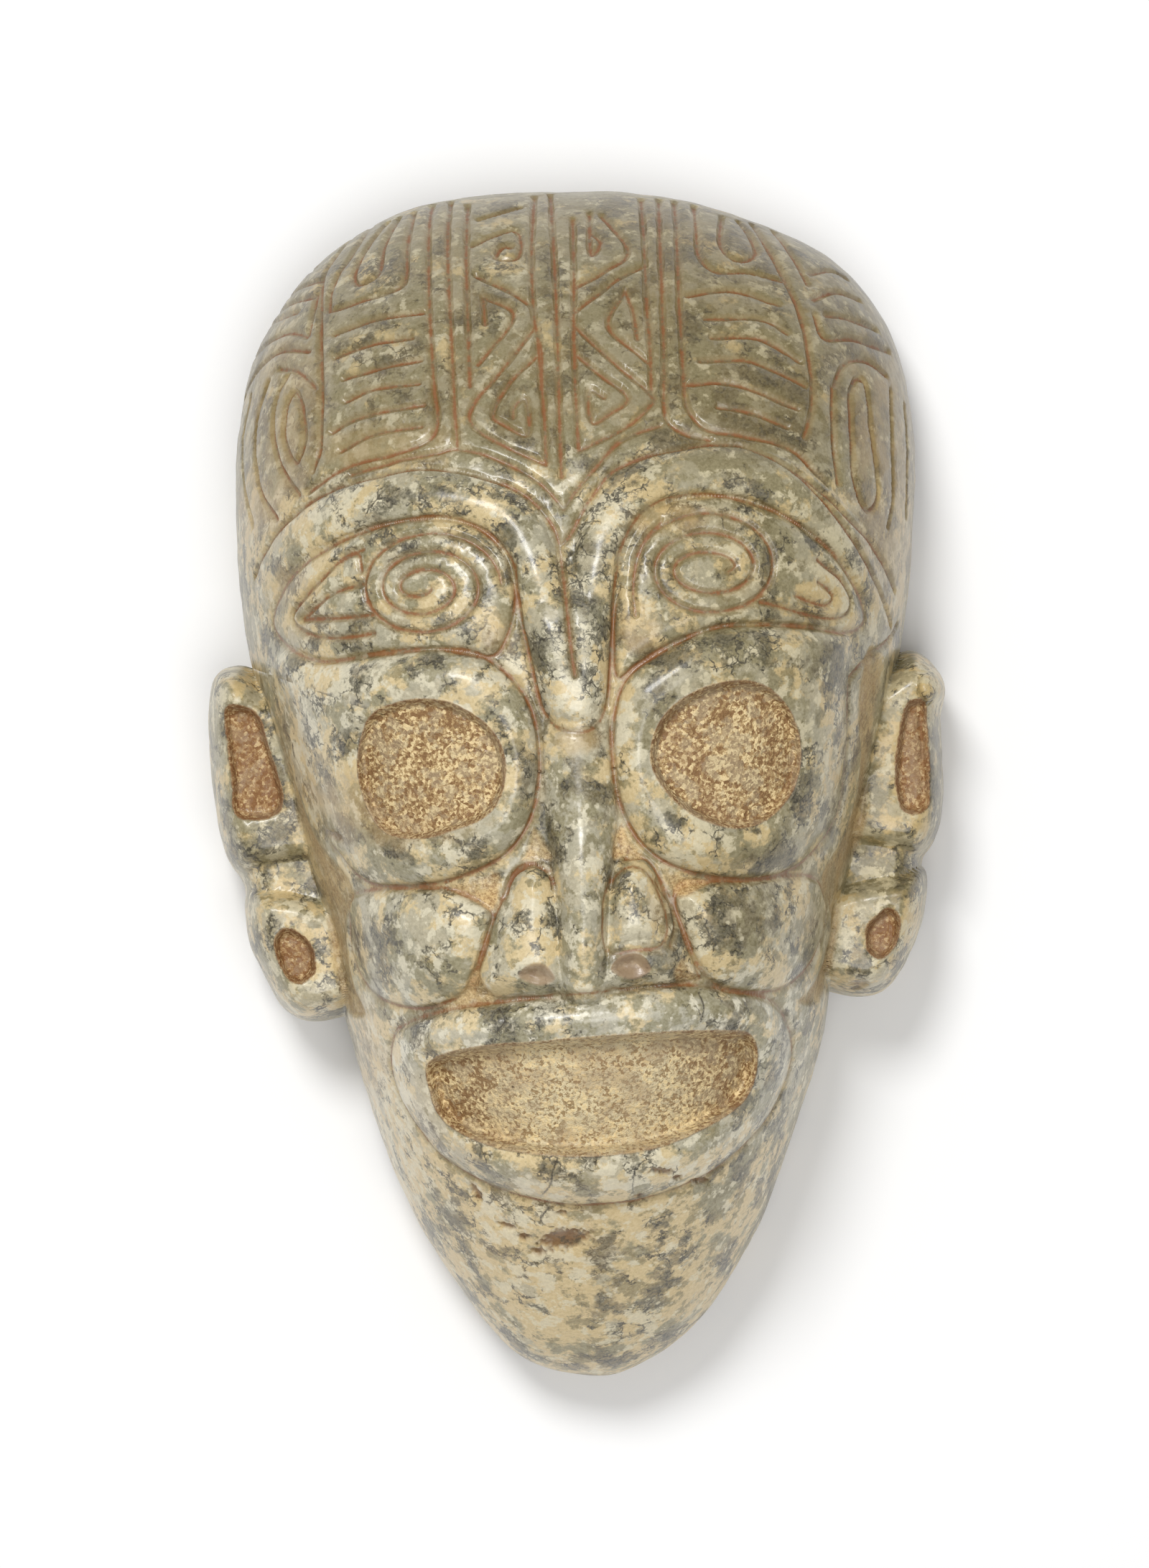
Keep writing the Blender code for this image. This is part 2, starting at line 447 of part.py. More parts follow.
def closed_mesh(name, rows):
    """Rows of points, the first and last each gathered to one point, as a closed skin."""
    count = len(rows[0])
    points = np.vstack([rows[0].mean(0), *rows[1:-1], rows[-1].mean(0)])
    points[:, 0] -= (points[:, 0].max() + points[:, 0].min()) / 2
    faces = []
    last = len(points) - 1
    for j in range(count):
        k = (j + 1) % count
        faces.append((0, 1 + j, 1 + k))
        for i in range(len(rows) - 3):
            a = 1 + i * count
            b = a + count
            faces.append((a + j, b + j, b + k, a + k))
        faces.append((last, last - count + k, last - count + j))
    mesh = bpy.data.meshes.new(name)
    mesh.from_pydata((points * SHARE).tolist(), [], faces)
    mesh.validate()
    return mesh


def thinned(obj, triangles):
    """The same skin with facets kept where the carving turns, its rim pressed flat again."""
    three = obj.modifiers.new("three_sided", "TRIANGULATE")
    three.min_vertices = 4
    thin = obj.modifiers.new("thin", "DECIMATE")
    thin.decimate_type = "COLLAPSE"
    whole = sum(len(f.vertices) - 2 for f in obj.data.polygons)
    thin.ratio = triangles / whole
    depsgraph = bpy.context.evaluated_depsgraph_get()
    mesh = bpy.data.meshes.new_from_object(obj.evaluated_get(depsgraph))
    obj.modifiers.clear()
    for v in mesh.vertices:
        if v.co.z < EDGE_HEIGHT * 0.05:
            v.co.z = 0.0
    obj.data = mesh
    return obj


def stone():
    material = bpy.data.materials.new("mottled_stone")
    material.use_nodes = True
    shader = material.node_tree.nodes["Principled BSDF"]
    shader.inputs["Base Color"].default_value = (0.42, 0.41, 0.31, 1.0)
    shader.inputs["Roughness"].default_value = 0.42
    return material


for old in list(bpy.data.objects):
    bpy.data.objects.remove(old)

angle, reach, front = front_grid()
lines = [smooth(line, 10, False) for line in GROOVES] + [spiral(*s) for s in SPIRALS]
lines += [stroke for band in HATCHES for stroke in hatch(*band)]
front = cut(front, lines)
skin = closed_mesh("stone_mask", [row for row in front] + back_rows(angle, reach))
mask = bpy.data.objects.new("stone_mask", skin)
bpy.context.scene.collection.objects.link(mask)
thinned(mask, TRIANGLES)
mask.data.materials.clear()
mask.data.materials.append(stone())
print("stone_mask", len(mask.data.polygons), "facets")
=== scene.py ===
# %% [markdown]
# # A carved stone mask, lying on its back
#
# The mask is one piece of mottled stone, carved on the face and hollowed behind. It is built as
# a carver works: a plain dome, the raised forms, the sunk eyes and mouth, the fine cut lines,
# and last the colour of the stone and its stains. The imported solid is loaded and, once the
# carving is made, hidden.

# %% Load the frame
import math

import bpy
import numpy as np
from mathutils import Matrix, Vector


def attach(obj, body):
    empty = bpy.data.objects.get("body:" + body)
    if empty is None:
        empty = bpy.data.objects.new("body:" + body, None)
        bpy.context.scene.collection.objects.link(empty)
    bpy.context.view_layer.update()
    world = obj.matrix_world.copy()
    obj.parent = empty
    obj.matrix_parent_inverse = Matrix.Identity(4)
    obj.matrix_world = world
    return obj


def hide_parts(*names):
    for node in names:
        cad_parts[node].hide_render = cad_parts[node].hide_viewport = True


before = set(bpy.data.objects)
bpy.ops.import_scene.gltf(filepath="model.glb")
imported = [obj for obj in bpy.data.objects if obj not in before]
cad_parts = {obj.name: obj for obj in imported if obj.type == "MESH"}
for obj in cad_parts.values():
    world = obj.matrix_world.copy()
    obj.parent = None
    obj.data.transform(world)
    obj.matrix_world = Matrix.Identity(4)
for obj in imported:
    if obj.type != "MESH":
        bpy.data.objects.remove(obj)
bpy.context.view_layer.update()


def show(thing):
    bpy.context.scene.collection.objects.link(thing)


# %% [markdown]
# ## Sizes
#
# Free carving is drawn in shares: hundredths of the mask's height, measured from the middle of
# the face. Depths and widths are given in metres and turned into shares once, here.

# %% Named sizes
HEIGHT = 0.220
SHARE = HEIGHT / 100.0
FACE_RISE = 0.068 / SHARE
EDGE = 0.012 / SHARE
EDGE_TUCK = 0.0045 / SHARE
RIM_WIDTH = 0.018 / SHARE
WALL = 0.021 / SHARE
EYE_DEPTH = 0.0030 / SHARE
MOUTH_DEPTH = 0.0050 / SHARE
NOSTRIL_DEPTH = 0.0016 / SHARE
EAR_HEIGHT = 0.024 / SHARE
EAR_PIT_DEPTH = 0.0028 / SHARE
EYE_RING_RISE = 0.0040 / SHARE
LIP_RISE = 0.0046 / SHARE
CHEEK_RISE = 0.0044 / SHARE
BROW_RISE = 0.0026 / SHARE
BRIDGE_RISE = 0.0044 / SHARE
EYELID_RISE = 0.0016 / SHARE
NOSE_RISE = 0.0080 / SHARE
WING_RISE = 0.0050 / SHARE
LIP_DROP = 0.35
LIP_ROUND = 1.6
EAR_SHOULDER = 2.8
CUT_HALF = 0.00085 / SHARE
CUT_DEPTH = 0.00080 / SHARE

COLUMNS = 1500
FRONT_ROWS = 360
BACK_ROWS = 60
CROWN_SHARE = 1.2
TRIANGLES = 190000
print("one share is", round(SHARE * 1000, 2), "mm")

# %% [markdown]
# ## The head
#
# The head is a long rounded wedge: a wide, flat-topped crown and a narrow chin. A smooth line
# through a few points gives its outline, and two more lists say how full the dome is from chin
# to crown, and how square its shoulders are.

# %% Outline and fullness of the head
HEAD = [
    (1.2, 50.1), (-6.7, 50), (-13.4, 48.6), (-20.2, 44.4), (-25.1, 37.8), (-27.1, 30.3),
    (-27.6, 21), (-26.9, 12), (-25.2, 4), (-23.6, -3), (-21.6, -11), (-20.1, -19),
    (-18.5, -25.7), (-15.9, -33.8), (-11.9, -41.5), (-6.8, -48.1), (-1.3, -50.1), (2.8, -49.7),
    (8.5, -46), (13.8, -38.3), (17.1, -30.5), (19.9, -22.7), (21.4, -15), (23.2, -8), (25.4, 0),
    (27.4, 8), (28.9, 16), (29.8, 27.9), (28.2, 36.9), (23.5, 43.4), (15, 47.7), (8, 49.6),
]
PROFILE_Y = [-50.0, -40.0, -30.0, -15.0, 0.0, 10.0, 25.0, 40.0, 50.0]
PROFILE_FULL = [0.66, 0.82, 0.95, 1.00, 1.01, 1.02, 1.03, 1.00, 0.97]
PROFILE_POWER = [2.5, 2.5, 2.8, 3.3, 3.3, 3.1, 2.6, 2.5, 2.5]


def smooth(points, steps, closed):
    """Catmull-Rom curve through the points, which may carry more than two numbers."""
    p = np.array(points, float)
    if closed:
        q = np.vstack([p[-1:], p, p[:2]])
    else:
        q = np.vstack([2 * p[:1] - p[1:2], p, 2 * p[-1:] - p[-2:-1]])
    t = (np.arange(steps) / steps)[:, None]
    out = []
    for a, b, c, d in zip(q[:-3], q[1:-2], q[2:-1], q[3:]):
        out.append(0.5 * (2 * b + (c - a) * t + (2 * a - 5 * b + 4 * c - d) * t ** 2
                          + (3 * b - a - 3 * c + d) * t ** 3))
    if not closed:
        out.append(p[-1:])
    return np.vstack(out)


head_line = smooth(HEAD, 14, True)
head_line[:, 1] -= (head_line[:, 1].max() + head_line[:, 1].min()) / 2
head_line[:, 1] *= 50.0 / head_line[:, 1].max()
head_turn = np.arctan2(head_line[:, 1], head_line[:, 0])
head_order = np.argsort(head_turn)
HEAD_TURN = head_turn[head_order]
HEAD_REACH = np.hypot(head_line[:, 0], head_line[:, 1])[head_order]


def head_reach(angle):
    return np.interp(angle, HEAD_TURN, HEAD_REACH, period=2 * math.pi)


def dome(x, y):
    """Height of the plain head over the rim plane, in shares."""
    t = np.clip(np.hypot(x, y) / head_reach(np.arctan2(y, x)), 0, 1)
    full = np.interp(y, PROFILE_Y, PROFILE_FULL) * FACE_RISE
    return EDGE + full * np.sqrt(1 - t ** np.interp(y, PROFILE_Y, PROFILE_POWER))


print("dome over the rim plane:", round(float(dome(0.0, 0.0)), 1), "shares")

# %% [markdown]
# ## Tools for raised and sunk forms
#
# Every raised form is a closed outline with a swelling over it, which levels off a shoulder's
# width inside. Neighbours share their outlines, so a crisp valley is left between them. Brows
# and nose are ridges: rises along a line that is wider and higher in some places than in others.

# %% Distance, swelling and ridge
def nearest(x, y, line, closed):
    """Distance from every point to a line, and where along it the nearest spot lies."""
    a = line
    b = np.roll(line, -1, axis=0)
    if not closed:
        a, b = line[:-1], line[1:]
    best = np.full(x.shape, 1e9)
    where = np.zeros(x.shape)
    for i in range(len(a)):
        e = b[i, :2] - a[i, :2]
        u = ((x - a[i, 0]) * e[0] + (y - a[i, 1]) * e[1]) / max(e @ e, 1e-12)
        u = np.clip(u, 0, 1)
        d = np.hypot(x - a[i, 0] - u * e[0], y - a[i, 1] - u * e[1])
        near = d < best
        best[near] = d[near]
        where[near] = (i + u)[near]
    return best, where


def within(x, y, loop):
    """True for points inside a closed line."""
    inside = np.zeros(x.shape, bool)
    for (x0, y0), (x1, y1) in zip(loop[:, :2], np.roll(loop[:, :2], -1, axis=0)):
        cross = (y0 > y) != (y1 > y)
        span = y1 - y0 if y1 != y0 else 1e-12
        inside ^= cross & (x < (x1 - x0) * (y - y0) / span + x0)
    return inside


def around(x, y, line, margin):
    """True for points in the box round a line."""
    low, high = line[:, :2].min(0) - margin, line[:, :2].max(0) + margin
    return (x > low[0]) & (x < high[0]) & (y > low[1]) & (y < high[1])


def depth_in(x, y, loop, beside=0.0):
    """How far inside a closed line each point lies, or with a minus, up to a limit, outside."""
    out = np.full(x.shape, -beside)
    pick = around(x, y, loop, beside)
    px, py = x[pick], y[pick]
    if not px.size:
        return out
    away = nearest(px, py, loop, True)[0]
    out[pick] = np.where(within(px, py, loop), away, -np.minimum(away, beside))
    return out


def ease(u):
    u = np.clip(u, 0, 1)
    return u * u * (3 - 2 * u)


def swell(depth, shoulder):
    u = np.clip(depth / shoulder, 0, 1)
    return 1 - (1 - u) ** 2.3


def ridge(x, y, line, power):
    """Rise along a line that carries its own half width and height."""
    out = np.zeros(x.shape)
    pick = around(x, y, line, line[:, 2].max())
    d, where = nearest(x[pick], y[pick], line, False)
    half = np.interp(where, np.arange(len(line)), line[:, 2])
    high = np.interp(where, np.arange(len(line)), line[:, 3])
    out[pick] = high * np.clip(1 - (d / half) ** 2, 0, 1) ** power
    return out


# %% [markdown]
# ## The raised forms
#
# Two wide rings stand about the eyes, with leaf-shaped eyelid panels over them. The brows run
# over the panels and down side by side into the bridge, which ends in a rounded step over the
# nose. The two sides are alike but not the same, as on anything carved by eye.

# %% Outlines of the forms
RING_LEFT = [
    (-22.7, 12), (-19.8, 10.7), (-15, 11), (-10.4, 11.2), (-7.3, 10.7), (-4.7, 8.7), (-3.2, 6.2),
    (-2.7, 3.1), (-2.9, -0.2), (-3.9, -3.2), (-5.9, -5.5), (-9.5, -7.1), (-14.2, -7.7), (-17.5, -7),
    (-19.9, -4.3), (-21.4, 0.1), (-22.6, 5), (-24.6, 10.4),
]
RING_RIGHT = [
    (12.5, 12.1), (9.6, 11.3), (6.7, 9.9), (4.4, 8.1), (3.3, 5), (3.1, 1.7), (3.5, -1.6), (4.9, -4.7),
    (7.4, -6.8), (11.2, -8), (15.9, -8.1), (19, -6.5), (21.4, -3.2), (22.2, 1.5), (22.6, 7),
    (22.7, 11.1), (18.4, 11.9),
]
EYE_LEFT = [
    (-15.9, 6.3), (-13.6, 7.2), (-11.1, 7.3), (-8.9, 6.6), (-6.6, 4.9), (-5.4, 2.4), (-5.7, -0.5),
    (-7.3, -2.4), (-9.9, -3.4), (-12.7, -3.9), (-15.3, -3.3), (-16.7, -1.3), (-17.4, 1.7), (-17, 4.4),
]
EYE_RIGHT = [
    (8.3, 6.1), (11, 7.4), (14.1, 7.7), (16.4, 6.6), (17.9, 4.3), (18.3, 1.3), (17.4, -1.5),
    (15.2, -3.6), (12.5, -4.1), (9.8, -3.2), (7.4, -1.2), (6.1, 1.4), (6.6, 4.1),
]
LID_LEFT = [
    (-16.4, 20.8), (-12.9, 21.6), (-9.2, 21.7), (-6.2, 20.3), (-4.3, 17.9), (-4.1, 14.6), (-5, 11.7),
    (-6.4, 10.4), (-10.4, 11.2), (-15.1, 11.1), (-19.8, 10.7), (-22.8, 12.1), (-24.1, 14.3),
    (-22.6, 17.3), (-19.8, 19.4),
]
LID_RIGHT = [
    (3.6, 12.6), (3.9, 15.4), (4.5, 18.5), (6.4, 21.4), (9.5, 22.6), (13.2, 22.4), (17.6, 20.8),
    (21.3, 18), (23.5, 14.8), (24.1, 12.2), (22.3, 11.3), (18.4, 11.9), (12.5, 12.1), (8.2, 10.8),
    (5.3, 9.2), (3.7, 8.4),
]
BROWS = [
    [(-24.9, 17, 0.8, 0.4), (-21.6, 20.8, 1.6, 0.8), (-15.4, 23.4, 2.1, 1), (-10, 23.7, 2.1, 1),
     (-5.4, 22.3, 2, 1), (-3, 19.2, 1.9, 1.1), (-1.9, 15, 1.9, 1.2), (-1.4, 12.4, 1.4, 0.9)],
    [(25.4, 13.8, 0.8, 0.4), (23.2, 18.4, 1.6, 0.8), (19.4, 22.2, 2.1, 1), (15.2, 24.3, 2.1, 1),
     (11, 24.6, 2.1, 1), (6.9, 23.6, 2.1, 1), (3.6, 20.2, 2.1, 1.1), (2.3, 15.6, 1.9, 1.2),
     (2, 12.4, 1.4, 0.9)],
]
BRIDGE = [
    (-4.1, 17.6), (-3.9, 15.1), (-3.6, 12.8), (-3.2, 10.5), (-2.8, 8.2), (-2.3, 6), (-1.3, 4.6),
    (0.3, 4.1), (1.9, 4.5), (2.8, 6), (3.1, 7.9), (3.3, 10), (3.6, 12.6), (3.9, 15.3), (4.2, 17.6),
    (2.6, 19.4), (0.1, 18), (-2.6, 19.4),
]
NOSE_RIDGE = [
    (0.4, 5.4, 2.6, 0.34), (0.4, 1.6, 2.9, 0.44), (0.5, -2.6, 2.9, 0.62), (0.4, -6.6, 2.6, 0.84),
    (0.3, -10.4, 2.4, 0.98), (0.1, -13.4, 2.4, 0.98), (0.1, -16, 2.5, 0.80),
]
WING_LEFT = [
    (-3.6, -6.1), (-5, -6.8), (-6, -8.6), (-7.2, -11.2), (-8.3, -14.2), (-8.9, -16.4),
    (-5, -16.9), (-0.6, -16.6), (-1, -12.7), (-1.4, -9.3), (-2.2, -6.8),
]
WING_RIGHT = [
    (3.8, -6.1), (5.4, -6.2), (6.5, -7.9), (7.9, -11.2), (8.9, -14.2), (9.4, -16), (5, -16.4),
    (0.9, -16.5), (1.4, -12), (1.7, -9.3), (2.5, -7),
]
LOBE_RIGHT = [
    (2.1, -13.4), (1.9, -10.3), (2.2, -8.7), (3, -7.3), (4.2, -6.7), (5.4, -7.2), (6.3, -8.7),
    (6.9, -10.6), (6.9, -12.2), (6.2, -13.3), (4.4, -13.4),
]
NOSTRILS = [
    [(-5.2, -15.2), (-4.8, -14.4), (-3.9, -14), (-3, -14.1), (-2.3, -14.8), (-2.2, -15.6),
     (-3.6, -16)],
    [(2.2, -15), (2.7, -14), (3.6, -13.6), (4.6, -13.6), (5.3, -14.3), (5.5, -15.2), (3.9, -15.8)],
]
CHEEK_LEFT = [
    (-18.6, -8.4), (-16, -7.8), (-11.8, -7.8), (-9.6, -8.2), (-7.1, -9.8), (-7.4, -12),
    (-8.5, -14.8), (-9.8, -16.6), (-13.5, -17.6), (-17, -16.4), (-18.6, -13.6), (-18.9, -10.6),
]
CHEEK_RIGHT = [
    (8.8, -8.2), (13.5, -8.3), (18.6, -8.2), (20.1, -9.9), (20.1, -12.2), (18.8, -15.3), (16.4, -17.2),
    (13.6, -17.4), (10.9, -16.8), (9.1, -14.6), (7.9, -11.4), (7.6, -9.2),
]
LIPS = [
    (-15.6, -19.9), (-14.2, -18.7), (-11, -17.7), (-6.5, -17.1), (0, -16.7), (7.9, -16.4),
    (12, -17.1), (15.2, -18.2), (16.6, -20.4), (16.9, -23), (15.9, -26), (13.6, -29.2),
    (9.6, -32.1), (4.4, -33.8), (-1.4, -34.1), (-7, -32.8), (-11.8, -30.1), (-14.5, -26.6),
    (-15.9, -23),
]
MOUTH = [
    (-12.7, -21.9), (-9.5, -20.7), (-3.7, -20.3), (4.9, -20), (11.4, -20.2), (13.5, -20.9),
    (13.9, -23.2), (12.9, -26), (10, -27.9), (5.1, -29.6), (-1.3, -29.9), (-7.6, -29),
    (-11.6, -26.9), (-12.8, -24.2),
]


def loop(points):
    return smooth(points, 8, True)


bosses = [(loop(p), EYE_RING_RISE, 2.8) for p in (RING_LEFT, RING_RIGHT)]
bosses += [(loop(p), EYELID_RISE, 1.6) for p in (LID_LEFT, LID_RIGHT)]
bosses += [(loop(p), CHEEK_RISE, 4.4) for p in (CHEEK_LEFT, CHEEK_RIGHT)]
bosses += [(loop(WING_LEFT), WING_RISE, 3.2), (loop(WING_RIGHT), 0.72 * WING_RISE, 1.8),
           (loop(LOBE_RIGHT), 1.12 * WING_RISE, 2.2), (loop(LIPS), LIP_RISE, 2.6)]
bridge_line = loop(BRIDGE)
ridges = [(smooth(p, 8, False), BROW_RISE, 0.75) for p in BROWS]
ridges.append((smooth(NOSE_RIDGE, 8, False), NOSE_RISE, 0.95))
eye_lines = [loop(EYE_LEFT), loop(EYE_RIGHT)]
mouth_line = loop(MOUTH)
pits = [(line, EYE_DEPTH, 0.7) for line in eye_lines]
pits += [(loop(p), NOSTRIL_DEPTH, 0.9) for p in NOSTRILS]
pits.append((mouth_line, MOUTH_DEPTH, 1.0))
print(len(bosses), "raised forms,", len(ridges), "ridges,", len(pits), "sunk forms")

# %% [markdown]
# ## The ears
#
# Each ear is two lobes on the side of the head, well behind the face. The upper lobe has a tall
# slot and a small knob at its top, the lower one an oval. The outline of the mask simply bulges
# where they are.

# %% Ears
EARS_UPPER = [
    [(-26.3, 10.6), (-28.6, 11.1), (-30.1, 9.9), (-30.6, 6.5), (-30.4, 0.5), (-29.9, -3.6), (-28.4, -6.6),
     (-24.6, -6.7), (-19.4, -5.4), (-19.9, 0.6), (-21.8, 6.6)],
    [(27.6, 9.8), (30, 9.5), (31.5, 6.8), (30.9, 3.4), (31.1, -1), (30.5, -5.2), (28.6, -7.6), (25, -7.4),
     (20.2, -5.8), (20.8, 0.4), (22.6, 6)],
]
EARS_LOWER = [
    [(-27.6, -7.3), (-28.1, -11), (-27, -14.6), (-24.9, -18.2), (-22, -19.1), (-17.8, -17.6),
     (-16.8, -14.4), (-17.8, -9.6), (-23.4, -7)],
    [(28.8, -8), (29.2, -11), (28.1, -14.6), (25.7, -18.2), (22.6, -18.9), (18.6, -17.2), (17.6, -14.4),
     (18.2, -9.6), (24, -7.9)],
]
EAR_BASES = [
    [(-26.3, 10), (-29.6, 9.4), (-30.6, 5), (-30.3, -1), (-29.4, -5.2), (-28.2, -7.4), (-28, -11),
     (-26.6, -15.4), (-24, -18.4), (-19.6, -17.6), (-17.6, -9.6), (-19.9, 0.6), (-21.8, 6.2)],
    [(27.6, 9.2), (30.2, 9), (31, 4.6), (31, -1), (30.2, -5.6), (29, -7.8), (29, -11.4), (27.4, -15.6),
     (24.6, -18.3), (20, -17.4), (18, -9.6), (20.6, 0.4), (22.4, 5.6)],
]
EAR_SLOTS = [
    [(-28.7, 7.5), (-27.4, 7.7), (-26, 6.9), (-25.2, 4.6), (-24.5, 2), (-24.1, -0.2), (-24.8, -1.6),
     (-26.6, -1.9), (-28.3, -1.3), (-28.4, 1.4), (-28.7, 5)],
    [(27.6, 5.3), (28.5, 5.9), (29.4, 5.4), (29.5, 2.6), (29.5, -1.2), (29.3, -3.1), (28.1, -3.7),
     (26.9, -3.1), (26.5, -0.4), (26.9, 2.6)],
]
EAR_OVALS = [
    [(-24.5, -10.9), (-23, -11.5), (-22.1, -12.9), (-22.1, -14.6), (-23.2, -15.6), (-24.4, -15.2),
     (-25.2, -13.6), (-25.4, -11.9)],
    [(24.9, -11.5), (26, -11.4), (26.5, -12.6), (26.1, -14.4), (24.8, -15.6), (23.7, -14.9), (23.5, -13)],
]
EAR_KNOBS = [(-28.4, 9.0, 2.1, 0.6), (30.2, 6.9, 1.5, 1.5)]

ear_lines = [(loop(p), EAR_HEIGHT) for p in EARS_UPPER]
ear_lines += [(loop(p), 1.04 * EAR_HEIGHT) for p in EARS_LOWER]
ear_lines += [(loop(p), 0.84 * EAR_HEIGHT) for p in EAR_BASES]
ear_sunk = [loop(p) for p in EAR_SLOTS + EAR_OVALS]


def outline_reach(angle):
    """Reach of the whole outline, head and ears, from the middle of the face."""
    reach = head_reach(angle)
    ray_x, ray_y = np.cos(angle), np.sin(angle)
    for line, _ in ear_lines:
        for (x0, y0), (x1, y1) in zip(line, np.roll(line, -1, axis=0)):
            cross = ray_x * (y1 - y0) - ray_y * (x1 - x0)
            cross = np.where(np.abs(cross) < 1e-9, 1e-9, cross)
            far = (x0 * (y1 - y0) - y0 * (x1 - x0)) / cross
            along = (x0 * ray_y - y0 * ray_x) / cross
            hit = (far > 0) & (along >= 0) & (along <= 1)
            reach = np.where(hit & (far > reach), far, reach)
    return reach


def relief(x, y):
    """Height of the carved face over the rim plane, in shares."""
    base = dome(x, y)
    rise = np.zeros(x.shape)
    for line, height, shoulder in bosses:
        rise = np.maximum(rise, height * swell(depth_in(x, y, line), shoulder))
    for line, height, power in ridges:
        rise = np.maximum(rise, height * ridge(x, y, line, power))
    bridge = BRIDGE_RISE * swell(depth_in(x, y, bridge_line), 2.2) * ease((19.0 - y) / 7)
    rise = np.maximum(rise, bridge)
    for line in eye_lines + [mouth_line]:
        rise -= LIP_DROP * ease(1 + depth_in(x, y, line, LIP_ROUND) / LIP_ROUND) ** 2
    for line, depth, wall in pits:
        rise -= depth * ease(depth_in(x, y, line) / wall)
    face = base + rise * np.clip((base - EDGE) / 4, 0, 1)

    plate = np.zeros(x.shape)
    for line, lift in ear_lines:
        u = np.clip(depth_in(x, y, line) / EAR_SHOULDER, 0, 1)
        plate = np.maximum(plate, lift * np.sqrt(1 - (1 - u) ** 2))
    for cx, cy, r, swollen in EAR_KNOBS:
        ball = np.sqrt(np.clip(1 - ((x - cx) ** 2 + (y - cy) ** 2) / r ** 2, 0, 1))
        plate = plate + swollen * ball
    for line in ear_sunk:
        plate -= EAR_PIT_DEPTH * ease(depth_in(x, y, line) / 0.6)
    return np.maximum(face, EDGE + plate)


# %% [markdown]
# ## The grid
#
# A fan of columns runs out from the middle of the face to the outline. Columns are spread by
# the length of the outline, and rows by the length of the surface, so that steep sides get as
# many points as flat ones. Over the forehead the columns stand closer.

# %% Front grid
turn = np.linspace(-math.pi, math.pi, 7201)
reach = outline_reach(turn)
step = np.hypot(np.diff(reach), reach[1:] * (turn[1] - turn[0]))
step *= 1 + CROWN_SHARE * ease((reach[1:] * np.sin(turn[1:]) - 10) / 16)
along = np.concatenate([[0], np.cumsum(step)])
angle = np.interp(np.linspace(0, along[-1], COLUMNS, endpoint=False), along, turn)
reach = outline_reach(angle)

r = reach[None, :] * np.linspace(0, 1, 300)[:, None]
z = relief(r * np.cos(angle), r * np.sin(angle))
travel = np.hypot(np.diff(r, axis=0), 0.7 * np.diff(z, axis=0))
travel = np.vstack([np.zeros(COLUMNS), np.cumsum(travel, axis=0)])
radius = np.column_stack([np.interp(np.linspace(0, travel[-1, j], FRONT_ROWS), travel[:, j], r[:, j])
                          for j in range(COLUMNS)])
grid_x = radius * np.cos(angle)
grid_y = radius * np.sin(angle)
grid_z = relief(grid_x, grid_y)
grid_z[-1] = EDGE
front = np.dstack([grid_x, grid_y, grid_z])
middle_x = (grid_x[-1].max() + grid_x[-1].min()) / 2
print("front grid", front.shape[:2], "highest", round(float(grid_z.max()), 1), "shares")

# %% [markdown]
# ## Cut lines
#
# The forehead carries bands of fine lines: nested triangles down the middle, stacked strokes
# and nested hooks at the sides, and loops over the temples. They were scratched again and again
# with a hard point, so they are soft-edged, a millimetre or two wide, and never quite even.

